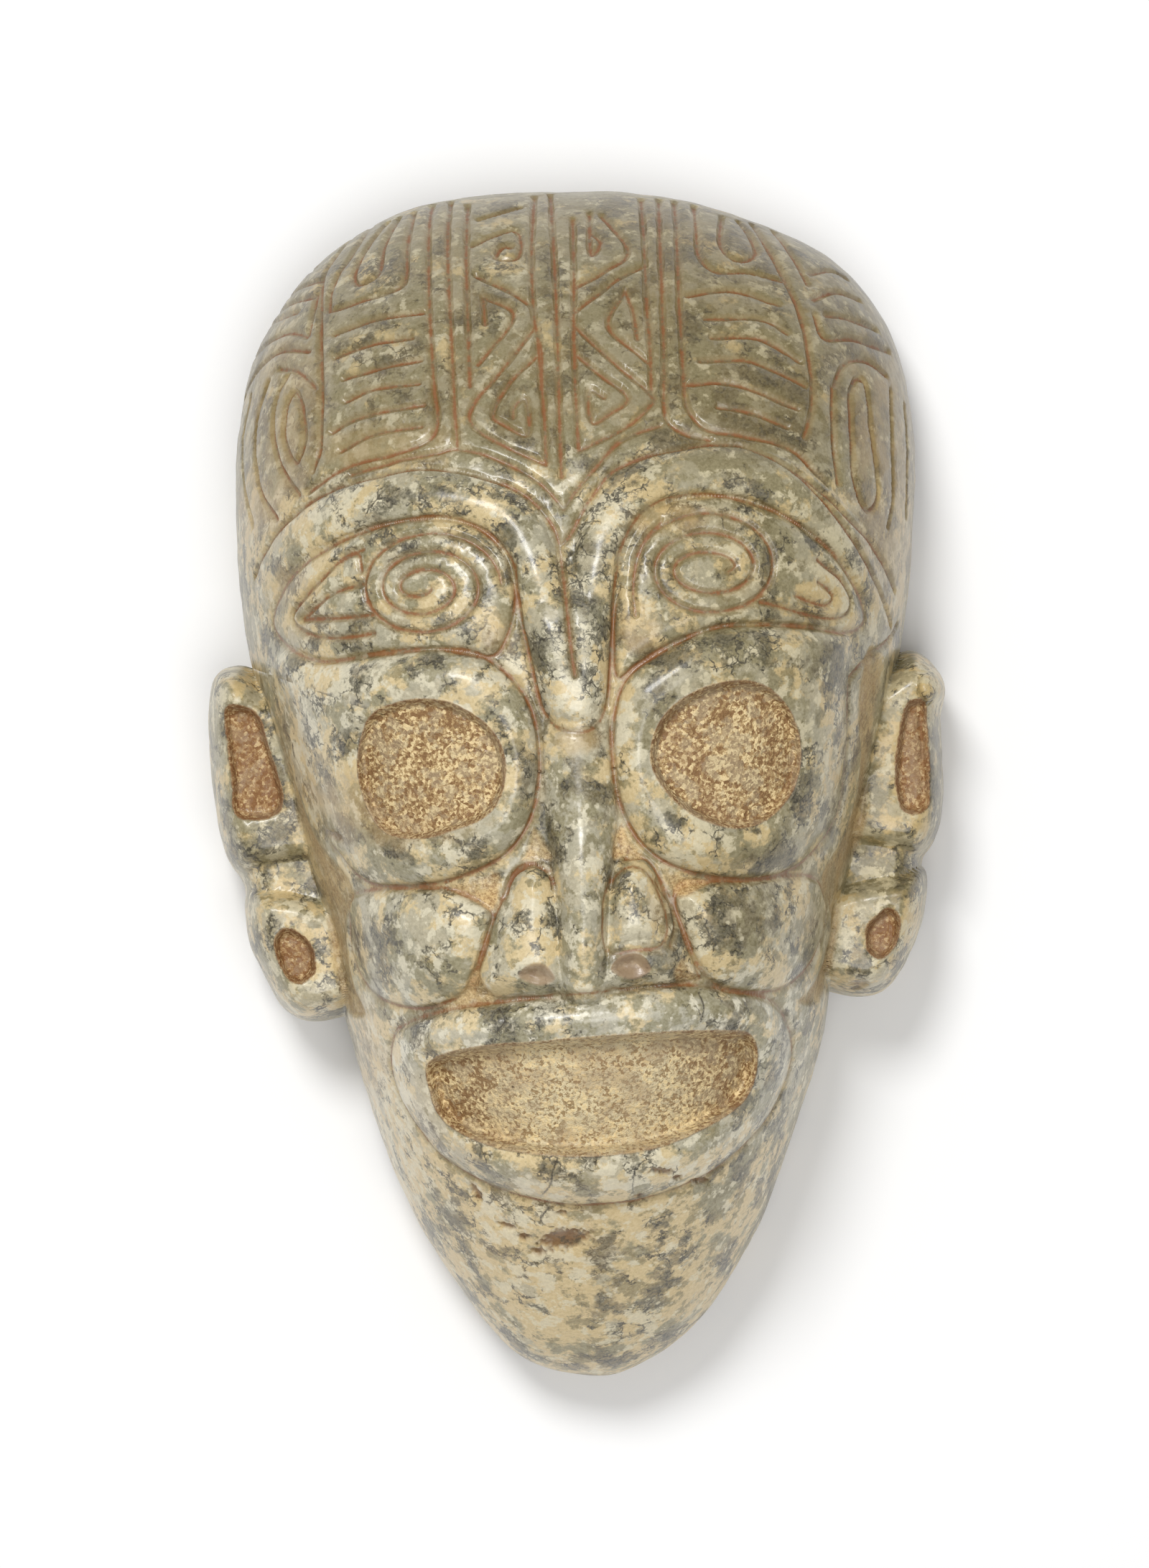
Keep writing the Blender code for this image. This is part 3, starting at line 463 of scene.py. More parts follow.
# %% Lines of the forehead, left side
FOREHEAD_LEFT = [
    [(-9.9, 49), (-10.2, 45.4), (-10.2, 38.7), (-10, 32.4), (-9.8, 29.8), (-10.5, 28.2), (-13, 27.2),
     (-17.1, 26.4), (-20.6, 24.6)],
    [(-8.3, 49.2), (-8.6, 45.2), (-8.5, 37.5), (-8.4, 31.3), (-8.3, 27.5)],
    [(-6.9, 48.6), (-7.1, 43), (-7.1, 37.4), (-7.1, 32.4)],
    [(-17, 25.7), (-13, 26.6), (-10, 27), (-8.3, 27.3), (-5.4, 26.4), (-2.8, 25), (-1.1, 23.5),
     (0.05, 22)],
    [(-18.1, 37.6), (-14.7, 38.6), (-10.7, 38.9)],
    [(-18.1, 35.6), (-14.8, 36.5), (-11.7, 36.8)],
    [(-17.4, 33.7), (-13.8, 34.5), (-11, 34.8)],
    [(-17.3, 31.8), (-14.9, 32.6), (-11.2, 32.9)],
    [(-18.5, 29.3), (-16.1, 30.4), (-10.9, 31.1)],
    [(-17.8, 27.7), (-15, 28.9), (-11.1, 29.3)],
    [(-19.3, 39.6), (-19.4, 36.5), (-19.3, 33.9), (-19.5, 28.3), (-20.2, 26.2)],
    [(-11.4, 48.3), (-12, 44.8), (-12.1, 42.2), (-12.9, 41.1), (-16.8, 40.1), (-18.5, 39.7)],
    [(-12.7, 47.9), (-13.9, 45.3), (-14.3, 42.8), (-15.1, 42), (-16.2, 41.9), (-16.4, 43), (-15.2, 45.5),
     (-13.6, 47.6)],
    [(-14.9, 47.9), (-16.8, 44.5), (-17.9, 42.8), (-18.5, 41), (-18.6, 39.7)],
    [(-16.2, 47.4), (-18.4, 44.3), (-19.2, 42.5), (-19.3, 39.7)],
    [(-19.2, 42.7), (-21.2, 42.4), (-23.1, 41.5)],
    [(-19.9, 44), (-21, 43.9), (-22.3, 43)],
    [(-19.9, 41.2), (-22, 41.1), (-24.3, 40.1)],
    [(-21.2, 40.1), (-23.5, 39.8), (-24.9, 38.8)],
    [(-20.4, 37.7), (-22.4, 38.3), (-25, 37.2), (-26, 36)],
    [(-19.6, 41.4), (-20.4, 37.7)],
    [(-20.3, 36.4), (-22.6, 36.8), (-24.8, 35.6), (-26.3, 33.6)],
    [(-22.1, 34.7), (-23.2, 32.5), (-23.5, 29.6), (-22.8, 26.6), (-21.5, 24.4)],
    [(-23.9, 34.3), (-24.9, 31.3), (-25.2, 28), (-24.6, 24.6), (-23.4, 22.6)],
    [(-20.9, 31.6), (-21.6, 33), (-22.3, 31.6), (-22.5, 29), (-21.6, 27), (-20.8, 28.8), (-20.9, 31.6)],
    [(-19.8, 33.2), (-21.4, 34.8), (-22.9, 35.2)],
    [(-25.6, 33.4), (-26.4, 29.6), (-26.3, 25.6), (-25.6, 22.4)],
]
print(len(FOREHEAD_LEFT), "cut lines on the left of the forehead")

# %% Lines down the middle of the forehead
FOREHEAD_MIDDLE = [
    [(-1.3, 49.2), (-1.7, 43.5), (-1.7, 38.2), (-1.2, 34.8), (-1.4, 32)],
    [(0.05, 49.4), (0.15, 42.5), (0.1, 34), (0, 27.8), (0, 24.6)],
    [(1.8, 46.7), (1.7, 42), (1.5, 37.4), (1.4, 32), (1.45, 26.8)],
    [(-6.6, 44.6), (-4.8, 45.4), (-3, 45.8), (-2.5, 44.6), (-3, 43.3), (-4.6, 43.4), (-4.1, 44.4),
     (-3.3, 44.3)],
    [(-6, 47), (-4, 47.6), (-2.5, 48)],
    [(-6.3, 41.9), (-4, 40.6), (-1.7, 38.9)],
    [(-5.8, 40), (-3.3, 38.3), (-5.3, 35.5), (-6.4, 34.2)],
    [(-5.8, 40), (-5.7, 37.6)],
    [(-1.6, 37.2), (-4.8, 33.3), (-6.9, 30.8), (-7, 29.2), (-4.6, 27.4), (-1.2, 25.7)],
    [(-1.2, 25.7), (-1.2, 29.9), (-1.5, 37)],
    [(-1.7, 34.6), (-3.8, 32.7), (-5.3, 30.1), (-4.6, 29.2), (-2.6, 28.2), (-2.6, 31), (-3.6, 30.6),
     (-3.7, 29.7)],
    [(3.2, 47.2), (3.15, 43.4), (4, 44.4), (3.2, 45.4)],
    [(4.2, 47), (6.2, 43.6), (4.2, 41.8), (1.8, 40.5)],
    [(7.4, 42.1), (5.4, 41.2), (3.7, 39.9), (1.6, 38.3)],
    [(5.8, 40), (4.3, 37), (7.4, 33.8)],
    [(5.8, 40), (6.4, 38), (6.6, 35.8)],
    [(1.6, 37.1), (4.6, 33.9), (7.4, 31.2), (7.4, 30.2), (5, 28.3), (1.5, 26.7)],
    [(1.7, 34.6), (3.6, 32.8), (5.6, 30.9), (4, 29.6), (2.6, 29), (2.5, 31.6), (3.7, 31)],
    [(7.6, 48.6), (7.6, 44), (7.5, 39.2), (7.6, 34.7), (7.5, 31)],
    [(8.1, 28.5), (6, 27.9), (4.4, 27), (2.8, 25.3), (1.2, 23.6), (0.05, 22)],
]
print(len(FOREHEAD_MIDDLE), "cut lines down the middle")

# %% Lines of the forehead, right side
FOREHEAD_RIGHT = [
    [(9.1, 48.6), (8.9, 43.9), (8.8, 39.2), (8.7, 34.6), (8.5, 30.2), (8.8, 28.7), (10.2, 27.7),
     (12, 27.2)],
    [(10.4, 48.4), (10.3, 43.9), (10.2, 39.1), (10.2, 34.6), (10.2, 30.8), (10.7, 29.2), (12, 28),
     (14.9, 27.4), (18.6, 26.2), (21.4, 23.4)],
    [(10.8, 39.4), (14.5, 39.8), (18.4, 38.5)],
    [(12.2, 37.4), (16.5, 37.3), (18.9, 36)],
    [(12.6, 35.8), (16.4, 35.6), (19.8, 33.6)],
    [(11.6, 33.8), (15.9, 33.6), (20.1, 31.5)],
    [(10.5, 31.8), (14, 31.8), (19.4, 29.6)],
    [(12.8, 29.9), (15.6, 29.3), (18.4, 28.1)],
    [(12, 47.9), (12, 45.4), (12.1, 42.9), (13.4, 41.5), (16, 41.4), (19, 40.6)],
    [(14.3, 46.8), (13.9, 44.4), (14.4, 43), (15.6, 42.5), (16.8, 43.2), (16.5, 44.8), (15.6, 46.4)],
    [(16.8, 46.2), (18.2, 43), (19.2, 40.4), (20.1, 37.6), (20.6, 34), (20.6, 30), (19.8, 27.2)],
    [(18.6, 45.6), (20, 42.8), (21, 40.4)],
    [(21.3, 39), (23.2, 39.8), (25.4, 39.2)],
    [(21.2, 41.4), (23, 41.8), (24.4, 41.2)],
    [(21.3, 37.6), (22, 35.6), (24.4, 35.6), (27.6, 34.8)],
    [(22.2, 37.6), (24.2, 37.4), (26.6, 36.6)],
    [(22.6, 31.6), (23.6, 33.4), (25.4, 33.8), (27.2, 32.6)],
    [(22.4, 31.4), (22.2, 27.4), (22.4, 23.4)],
    [(23.9, 31.1), (23.7, 27), (23.8, 23.4), (24.8, 21.2), (25.8, 22.6), (25.5, 27), (25.3, 31.4),
     (24.6, 32.2), (23.9, 31.1)],
    [(27.5, 31.4), (27.3, 27), (27.2, 22.6), (26.6, 20)],
    [(28.8, 30.4), (28.7, 26), (28.4, 21)],
]
print(len(FOREHEAD_RIGHT), "cut lines on the right of the forehead")

# %% [markdown]
# ## Brows, eyelids and nose
#
# A line rides over each brow, and both meet in a stem that runs down the bridge. Inside the
# eyelids a spiral winds in to its middle, and a wedge and a hook fill the outer corners.

# %% Lines of the brows, eyelids and nose
FACE_LINES = [
    [(-25.6, 18.2), (-24.6, 20), (-21.8, 22.9), (-17.9, 24.7), (-12, 25.8), (-8.2, 25.4), (-5.7, 24.6),
     (-3.5, 23.6), (-2, 22.3), (-1.1, 21), (-0.5, 19.6), (-0.2, 16.6), (0, 13.6), (0.2, 10.4),
     (0.4, 8.6)],
    [(-0.4, 19), (0.5, 19.9), (1.4, 21.5), (2.65, 23.3), (4, 24.8), (6.2, 25.8), (9, 26.4), (12.4, 26.8),
     (15.4, 26.3), (18.7, 24.4), (21.6, 21.3), (23.8, 18.2), (25.6, 14.8), (26.6, 12)],
    [(18.9, 24.4), (21.2, 22.5), (23.1, 20.6), (24.8, 18.8), (26.1, 16.9), (27.1, 14.8)],
    [(22.7, 7.6), (23.8, 8.7), (25.1, 9.7), (26.4, 10.8), (27.3, 12.1)],
    [(-16.2, 19.5), (-17.8, 19), (-20.1, 17), (-21.6, 15.6), (-22.3, 14.6), (-22, 13.6), (-20.3, 12.7),
     (-17.9, 12.5), (-15.6, 12.7)],
    [(-16.4, 17.8), (-16.7, 19.2), (-18.2, 18.6)],
    [(-21.5, 14.2), (-19.9, 15.5), (-18.7, 16.2), (-16.4, 16.7)],
    [(-21.5, 14.2), (-19.1, 14.1), (-17.3, 14.1), (-15.6, 14.2)],
    [(15.5, 13.9), (17, 13.5), (18.4, 13), (20.2, 12.5), (21.7, 12.4), (22.7, 12.8), (23, 14),
     (22.6, 15.1), (21.8, 16.1), (20.4, 17.2)],
    [(18.5, 14.3), (19.9, 13.7), (21, 13.5), (21.6, 14.1), (21.2, 14.8), (20.4, 15.4)],
    [(5.4, 13.2), (5.3, 15.3), (5.6, 17.2), (6.4, 19.2), (7.8, 20.6)],
    [(-5.9, -8.8), (-5.6, -7.8), (-5.1, -7), (-4.4, -6.5), (-3.6, -6.3), (-2.8, -6.5), (-2.2, -7.2),
     (-1.9, -8.2)],
    [(6.3, -8), (7.3, -10), (7.6, -11.8), (7.2, -13.2)],
]


def spiral(cx, cy, wide, high, turns, start, drift=0.0, steps=30):
    """Line winding in from the outer to the inner half width and height."""
    k = np.arange(int(abs(turns) * steps) + 1) / steps
    inward = k / k[-1]
    a = start + math.copysign(1, turns) * 2 * math.pi * k
    rx = wide[0] + (wide[1] - wide[0]) * inward
    ry = high[0] + (high[1] - high[0]) * inward
    return np.column_stack([cx + drift * k + rx * np.cos(a), cy + ry * np.sin(a)])


spirals = [spiral(-11.0, 16.2, (5.9, 1.0), (4.7, 0.4), 2.95, 0.0, drift=-0.24),
           spiral(11.5, 16.8, (6.0, 1.9), (4.8, 0.7), -2.6, math.pi)]
cut_lines = [smooth(line, 8, False)
             for line in FOREHEAD_LEFT + FOREHEAD_MIDDLE + FOREHEAD_RIGHT + FACE_LINES]
cut_lines += spirals
print(len(cut_lines), "cut lines in all")

# %% [markdown]
# ## Pockets, pits and cracks
#
# Where three forms meet, a little ground was left rough, and earth still sits in it.
# The chin has natural pits and short fissures, and a few cracks cross the lips.

# %% Outlines of pockets, pits and cracks
POCKETS = [
    [(-3.4, -3.2), (-2.5, -4.4), (-2, -6), (-3.2, -6), (-4.6, -6), (-4, -4.6)],
    [(3.6, -3.1), (4.4, -4.6), (5.4, -6.1), (4, -6.1), (2.8, -6.2), (2.9, -4.6)],
    [(-10.3, -7.8), (-8.6, -7.2), (-6.4, -6.7), (-6.2, -8.3), (-6.8, -9.9), (-8.4, -9)],
    [(6.7, -7), (8.4, -7.6), (10.6, -8.2), (9.3, -9.1), (7.9, -9.5), (7.2, -8.6)],
    [(-8.6, -14.2), (-9.7, -16.4), (-11.4, -17.6), (-9.4, -17.5), (-7, -17), (-7.7, -15.7)],
    [(7.9, -14.2), (8.7, -14.5), (9.4, -16.2), (7.5, -16.3), (7.2, -15.2)],
    [(-24.6, 8.6), (-23, 1.4), (-21.4, -3.4), (-18.4, -7.4), (-19.2, -11), (-18.8, -15.4), (-17.8, -18.2),
     (-19.6, -18.2), (-20.6, -14.4), (-21.2, -9), (-22.6, -3.6), (-24, 3)],
    [(24.4, 10.2), (23.4, 5.6), (23.4, 0.4), (22.2, -4.6), (19.8, -8.4), (20.6, -12.4), (19.4, -16.4),
     (17.4, -18.6), (19.8, -18.6), (21.4, -13), (22, -8.6), (24, -4.6), (24.6, 2), (25.8, 8.6)],
]
PITS = [
    (-2.4, -37.1, 2.5, 1, 0.12, 1), (5.7, -31.5, 1.2, 0.32, -0.15, 0.9),
    (7, -32.2, 0.5, 0.25, 0, 0.9), (8.8, -32.7, 0.9, 0.35, 0, 0.9),
    (-9.4, -33, 0.35, 0.95, 0.45, 0.9), (-7, -35.8, 0.9, 0.28, -0.35, 0.9),
    (-5.7, -36.8, 0.6, 0.35, 0.2, 1), (-4.6, -38.1, 0.7, 0.4, 0, 0.9),
    (-2.5, -34.7, 0.6, 0.22, -0.1, 0.8), (-19.6, -3.4, 0.9, 0.4, -0.5, 0.7),
    (3.8, -33.5, 0.5, 0.2, 0.2, 0.7), (22.9, -17.6, 0.9, 0.5, 0.2, 0.5),
]
CRACKS = [
    [(-2.6, -29.9), (-3.1, -31.2), (-3.3, -32.2), (-4, -33.1)],
    [(-3.5, -34.2), (-4.2, -35.2), (-3.9, -35.8), (-3.2, -36)],
    [(3.6, -31), (3.4, -32.2), (3.3, -33.3)],
    [(9.2, -17), (9.6, -18.2), (9.3, -19.4)],
    [(-6.8, -17.6), (-6.4, -18.6), (-7.2, -19.6)],
]
pockets = [loop(p) for p in POCKETS]
cracks = [smooth(p, 6, False) for p in CRACKS]
print(len(pockets), "pockets,", len(PITS), "pits,", len(cracks), "cracks")

# %% [markdown]
# ## Cutting
#
# Each line is lifted on to the surface, so that it isn't stretched where the forehead is steep,
# and distance to it is measured in space. The surface is then pushed in at right angles to
# itself. The same distances tell the material where stain has gathered.

# %% Measure distances to the lines
points = front.reshape(-1, 3)
px, py, pz = (points[:, i].copy() for i in range(3))


def trace(lines, limit):
    """Distance in space from every grid point to the nearest of the lines, up to a limit."""
    best = np.full(len(points), limit)
    for line in lines:
        lifted = np.column_stack([line[:, :2], relief(line[:, 0], line[:, 1])])
        for i in range(0, len(lifted) - 1, 7):
            part = lifted[i:i + 8]
            low, high = part.min(0) - limit, part.max(0) + limit
            pick = np.flatnonzero((px > low[0]) & (px < high[0]) & (py > low[1]) & (py < high[1])
                                  & (pz > low[2]) & (pz < high[2]))
            if not len(pick):
                continue
            p = points[pick]
            found = best[pick]
            for a, b in zip(part[:-1], part[1:]):
                e = b - a
                u = np.clip((p - a) @ e / max(e @ e, 1e-12), 0, 1)
                found = np.minimum(found, np.linalg.norm(p - a - u[:, None] * e, axis=1))
            best[pick] = found
    return best


def uneven(x, y, size, seed):
    """Slow, smooth unevenness between -1 and 1, the same on every run."""
    total = np.zeros(np.shape(x))
    for k in range(5):
        a = seed * 1.7 + k * 2.39996
        wave = (1 + 0.37 * k) / size
        total += np.sin(wave * (x * math.cos(a) + y * math.sin(a)) * 2 * math.pi + seed * 3.1 * k)
    return total / 5


away_cut = trace(cut_lines, 1.6)
creases = [loop(p) for p in (LID_LEFT, LID_RIGHT, LIPS, CHEEK_LEFT, CHEEK_RIGHT, LOBE_RIGHT)]
creases = [np.vstack([line, line[:1]]) for line in creases]
creases += [smooth(p, 8, False) for p in (RING_LEFT[3:15], RING_RIGHT[1:15], BRIDGE[:15],
                                          WING_LEFT[10:] + WING_LEFT[:6], WING_RIGHT[:6])]
away_crease = trace(creases, 1.2)
away_crack = trace(cracks, 0.8)


def depth_in_any(lines):
    return np.max([depth_in(px, py, line, 1.0) for line in lines], axis=0)


sunk_depth = depth_in_any(eye_lines + [mouth_line] + ear_sunk)
nostril_depth = depth_in_any([loop(line) for line in NOSTRILS])
pocket_depth = depth_in_any(pockets)
print("points on a cut:", int((away_cut < CUT_HALF).sum()))

# %% Push the surface in
half = CUT_HALF * (1 + 0.25 * uneven(px, py, 5.0, 1.0))
strength = 0.85 + 0.3 * uneven(px, py, 7.0, 2.0)
sink = CUT_DEPTH * strength * np.clip(1 - (away_cut / half) ** 2, 0, 1)
sink += 0.14 * np.clip(1 - (away_crease / 0.4) ** 2, 0, 1) * (pz > EDGE + 1)
sink += 0.25 * ease((pocket_depth + 0.1) / 0.6)
sink += 0.06 * uneven(px, py, 11.0, 3.0) + 0.04 * uneven(px, py, 4.3, 4.0)
sink += 0.10 * np.clip(1 - (away_crack / 0.16) ** 2, 0, 1)
rough_floor = ease((sunk_depth - 0.2) / 0.5)
sink += rough_floor * (0.06 * uneven(px, py, 1.1, 9.0) + 0.05 * uneven(px, py, 0.55, 12.0))
pit_mark = np.zeros(len(points))
for cx, cy, rx, ry, tilt, deep in PITS:
    dx, dy = px - cx, py - cy
    u = (dx * math.cos(tilt) + dy * math.sin(tilt)) / rx
    v = (-dx * math.sin(tilt) + dy * math.cos(tilt)) / ry
    d = np.hypot(u, v) + 0.35 * uneven(px, py, 0.9, 5.0) + 0.2 * uneven(px, py, 0.45, 6.0)
    pit_mark = np.maximum(pit_mark, deep * ease((1.05 - d) / 0.5))
sink += 0.35 * pit_mark

down = np.gradient(front, axis=0)
across = (np.roll(front, -1, axis=1) - np.roll(front, 1, axis=1)) / 2
normal = np.cross(down, across)
normal /= np.linalg.norm(normal, axis=2, keepdims=True) + 1e-9
normal[0] = (0, 0, 1)
sink_grid = sink.reshape(FRONT_ROWS, COLUMNS).copy()
sink_grid[0] = sink_grid[0].mean()
sink_grid[-1] = 0
sink_grid *= ease((front[:, :, 2] - EDGE) / 1.5)
front = front - normal * sink_grid[:, :, None]
print("deepest cut", round(float(sink.max() * SHARE * 1000), 2), "mm")

# %% [markdown]
# ## Where the stone changes
#
# The chin is creamier, the forehead browner, and bands of dark veins cross the brow. Each spot
# is an oval given by its middle and half widths, with how much paler, duller or more veined the
# stone is there. Spots only lean on the material's own pattern, so their edges never show.

# %% Spots
PALE = [
    (-17.7, 23.2, 3.2, 2.5, 0.8), (3.4, 21.4, 1.8, 3, 1), (22.2, 17, 2, 3.5, 0.7),
    (0.6, 7.4, 1.8, 3.4, 1), (-20.6, 15.6, 3, 3.2, 0.4), (-19.1, 9, 3.9, 2, 0.9),
    (-5, 8.7, 1.8, 1.5, 1), (-21.2, 3.8, 1.8, 4.2, 0.7), (4.3, 5, 1, 2.8, 0.6),
    (21, 2.1, 1.4, 4.2, 0.5), (8.7, -5.2, 2.4, 2.1, 0.8), (-4.5, -10.3, 2.5, 3.9, 0.4),
    (4.4, -10.6, 1.8, 3, 0.7), (-10.2, -10.8, 3.2, 2.8, 0.6), (8.9, -11.6, 1.1, 2.8, 0.8),
    (4.1, -31.5, 4.6, 1.3, 1), (-16, -28.4, 2.4, 8, 0.8), (-6, -34.8, 4.2, 2.5, 0.7),
    (-4.8, -41, 2.8, 2.8, 0.7), (3.4, -44.6, 1.8, 1.3, 0.8), (-22.6, -13.6, 3.6, 4.5, 0.5),
    (24.6, -13.6, 3.6, 4.5, 0.5), (28.6, 7, 2, 2.4, 0.5), (-28.4, 9.2, 2.2, 2, 0.5),
]
DUSK = [
    (-2.8, 29.9, 2.8, 3.2, 0.7), (16.6, 29.2, 5.6, 4.2, 0.9), (25.3, 30.8, 3.4, 11, 0.9),
    (5.3, 44.8, 6.3, 3.2, 0.5), (12, 42, 6, 5, 0.4), (-4.3, 0.3, 1.3, 4.2, 0.5),
    (-17.1, -3.1, 1.8, 1, 1), (21, 8.5, 2, 2, 1), (15.9, -6.7, 4.2, 1.3, 0.5),
    (1.2, -0.3, 1.9, 3.8, 1), (-16.9, -12.9, 1.8, 2.8, 0.7), (13.1, -11.5, 2.9, 2.2, 1),
    (-26.5, -4.7, 2.8, 1.4, 0.7), (30.1, -1.2, 0.9, 4.4, 1), (26.6, -9.6, 2.5, 1.2, 0.9),
    (12.9, -18.2, 2, 0.8, 1), (12.1, -35.3, 3.5, 5.3, 0.5), (2.3, -42.4, 4.9, 2.2, 0.5),
    (0, -48.6, 3, 1.5, 0.6),
]
VEINED = [
    (1.5, 13.8, 2.7, 6, 1), (-2.6, 13, 1.4, 5, 0.7), (12.9, 10.1, 3.4, 1.4, 0.9),
    (5.8, 21.6, 1.4, 2.4, 1), (-8.5, 23.4, 1.6, 2, 0.8), (-5.5, 22.6, 2, 1.6, 0.6),
    (-10.6, 12.9, 3.5, 0.9, 0.8), (22, 8.5, 1.6, 2.6, 0.8), (-17.1, -3.1, 2.4, 1.2, 0.9),
    (21.4, -1.8, 1, 3, 0.7), (28.2, -9.4, 1.6, 1.6, 0.9), (-1, -18.4, 8, 1.2, 0.5),
    (-26.8, -4.4, 2.6, 1.8, 0.7), (6, 12, 2.2, 2, 0.5), (-12.5, -36, 2, 5, 0.5),
    (14, -27, 2, 5, 0.4),
]
WARM = [
    (8.4, 20.9, 2.6, 1.1, 1), (5.6, 12, 1.6, 1.6, 0.9), (-22.2, 16, 2, 3, 0.5),
    (-22.4, 29.8, 2.8, 7.7, 0.5), (-14.7, 27.7, 5.6, 1.6, 0.5), (26.6, 24, 2.6, 10, 0.6),
    (-5.8, 12.4, 1.2, 1.8, 0.6), (-24.2, 24, 2.6, 3, 0.7), (6.3, -9.6, 0.8, 2.2, 0.5),
    (0.3, 3.4, 1.8, 0.9, 0.7), (-21.4, -4.6, 1, 3, 0.6), (-17.5, -21, 1.6, 4, 0.6),
    (-15, -1, 6.5, 3, 0.8), (-4, -36, 7, 5, 0.3), (-12, -27, 3, 6, 0.3),
]


def lean(spots):
    """The strongest of the ovals at every point, with uneven edges."""
    total = np.zeros(len(points))
    wobble = 0.35 * uneven(px, py, 2.6, 8.0) + 0.2 * uneven(px, py, 1.1, 13.0)
    for cx, cy, rx, ry, much in spots:
        d = np.hypot((px - cx) / rx, (py - cy) / ry) + wobble
        total = np.maximum(total, much * ease((1.5 - d) / 0.9))
    return total


# Each mark, with its value on the back.
marks = {"cut": (away_cut, 1.6), "crease": (away_crease, 1.2), "crack": (away_crack, 0.8),
         "sunk": (sunk_depth, -1.0), "nostril": (nostril_depth, -1.0), "pocket": (pocket_depth, -1.0),
         "pit": (pit_mark, 0.0), "pale": (lean(PALE), 0.0), "dusk": (lean(DUSK), 0.3),
         "veined": (lean(VEINED), 0.0), "warm": (lean(WARM), 0.2)}
print({name: round(float(values.mean()), 2) for name, (values, _) in marks.items()})

# %% [markdown]
# ## The back
#
# The back is made as such masks usually are: a rounded edge drawn in a little, a rim ground flat
# for it to lie on, and a hollow that follows the face inside.

# %% Back edge, rim and hollow
back = []
for a in np.linspace(0, math.pi / 2, 9)[1:]:
    far = reach - EDGE_TUCK * (1 - math.cos(a))
    back.append((far, EDGE * (1 - math.sin(a)) + 0 * far))
inner = head_reach(angle) - RIM_WIDTH
for s in (0.25, 0.5, 0.75, 1.0):
    far = (reach - EDGE_TUCK) * (1 - s) + inner * s
    back.append((far, 0 * far))
for s in np.linspace(0, 1, BACK_ROWS)[1:]:
    t = math.cos(s * math.pi / 2)
    far = inner * t
    full = np.interp(far * np.sin(angle), PROFILE_Y, PROFILE_FULL) * FACE_RISE
    chisel = 0.10 * uneven(far * np.cos(angle), far * np.sin(angle), 3.2, 7.0) * (1 - t ** 6)
    back.append((far, (EDGE + full - WALL) * (1 - t ** 2.4) ** 0.62 - chisel * (t > 0.02)))
back_rows = [np.column_stack([far * np.cos(angle), far * np.sin(angle), high]) for far, high in back]
print(len(back_rows), "rows round the back")

# %% [markdown]
# ## One closed skin
#
# Front and back rows are joined into one closed skin of more than a million facets, most of them
# on plain stone, so Decimate thins them and keeps them where the carving turns.

# %% Build and thin the mask
rows = [*front, *back_rows]
skin_points = np.vstack([rows[0].mean(0), *rows[1:-1], rows[-1].mean(0)])
skin_points[:, 0] -= middle_x
quads = []
j = np.arange(COLUMNS)
k = (j + 1) % COLUMNS
for i in range(len(rows) - 3):
    a = 1 + i * COLUMNS
    b = a + COLUMNS
    quads.append(np.column_stack([a + j, b + j, b + k, a + k]))
quads = np.vstack(quads)
last = len(skin_points) - 1
caps = np.vstack([np.column_stack([0 * j, 1 + j, 1 + k]),
                  np.column_stack([0 * j + last, last - COLUMNS + k, last - COLUMNS + j])])
corners = np.concatenate([caps.ravel(), quads.ravel()]).astype(np.int32)
starts = np.concatenate([np.arange(len(caps)) * 3, len(caps) * 3 + np.arange(len(quads)) * 4])

mesh = bpy.data.meshes.new("mask_carved")
mesh.vertices.add(len(skin_points))
mesh.vertices.foreach_set("co", (skin_points * SHARE).astype(np.float32).ravel())
mesh.loops.add(len(corners))
mesh.loops.foreach_set("vertex_index", corners)
mesh.polygons.add(len(starts))
mesh.polygons.foreach_set("loop_start", starts.astype(np.int32))
mesh.update(calc_edges=True)
mesh.validate()

for name, (front_values, back_value) in marks.items():
    values = np.full(len(skin_points), back_value, np.float32)
    values[0] = front_values[:COLUMNS].mean()
    values[1:1 + len(points) - COLUMNS] = front_values[COLUMNS:]
    mesh.attributes.new(name, "FLOAT", "POINT").data.foreach_set("value", values)

mask = bpy.data.objects.new("mask_carved", mesh)
show(mask)
mask.modifiers.new("three_sided", "TRIANGULATE").min_vertices = 4
thin = mask.modifiers.new("thin", "DECIMATE")
thin.ratio = TRIANGLES / (2 * len(quads) + len(caps))
thinned = bpy.data.meshes.new_from_object(mask.evaluated_get(bpy.context.evaluated_depsgraph_get()))
mask.modifiers.clear()
mask.data = thinned
bpy.data.meshes.remove(mesh)
thinned.shade_smooth()
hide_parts("stone_mask")
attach(mask, "root")
print("mask_carved:", len(thinned.polygons), "facets")

# %% [markdown]
# ## Shader sums
#
# A small wrapper lets a material be written as sums: each sum of two sockets adds a Math node.
# Every other node comes from one method.

# %% Sockets that can be used in sums
def paint(red, green, blue):
    """Colour as seen on a screen, 0 to 255, as the linear colour a shader wants."""
    out = []
    for c in (red / 255, green / 255, blue / 255):
        out.append(c / 12.92 if c <= 0.04045 else ((c + 0.055) / 1.055) ** 2.4)
    return (*out, 1.0)


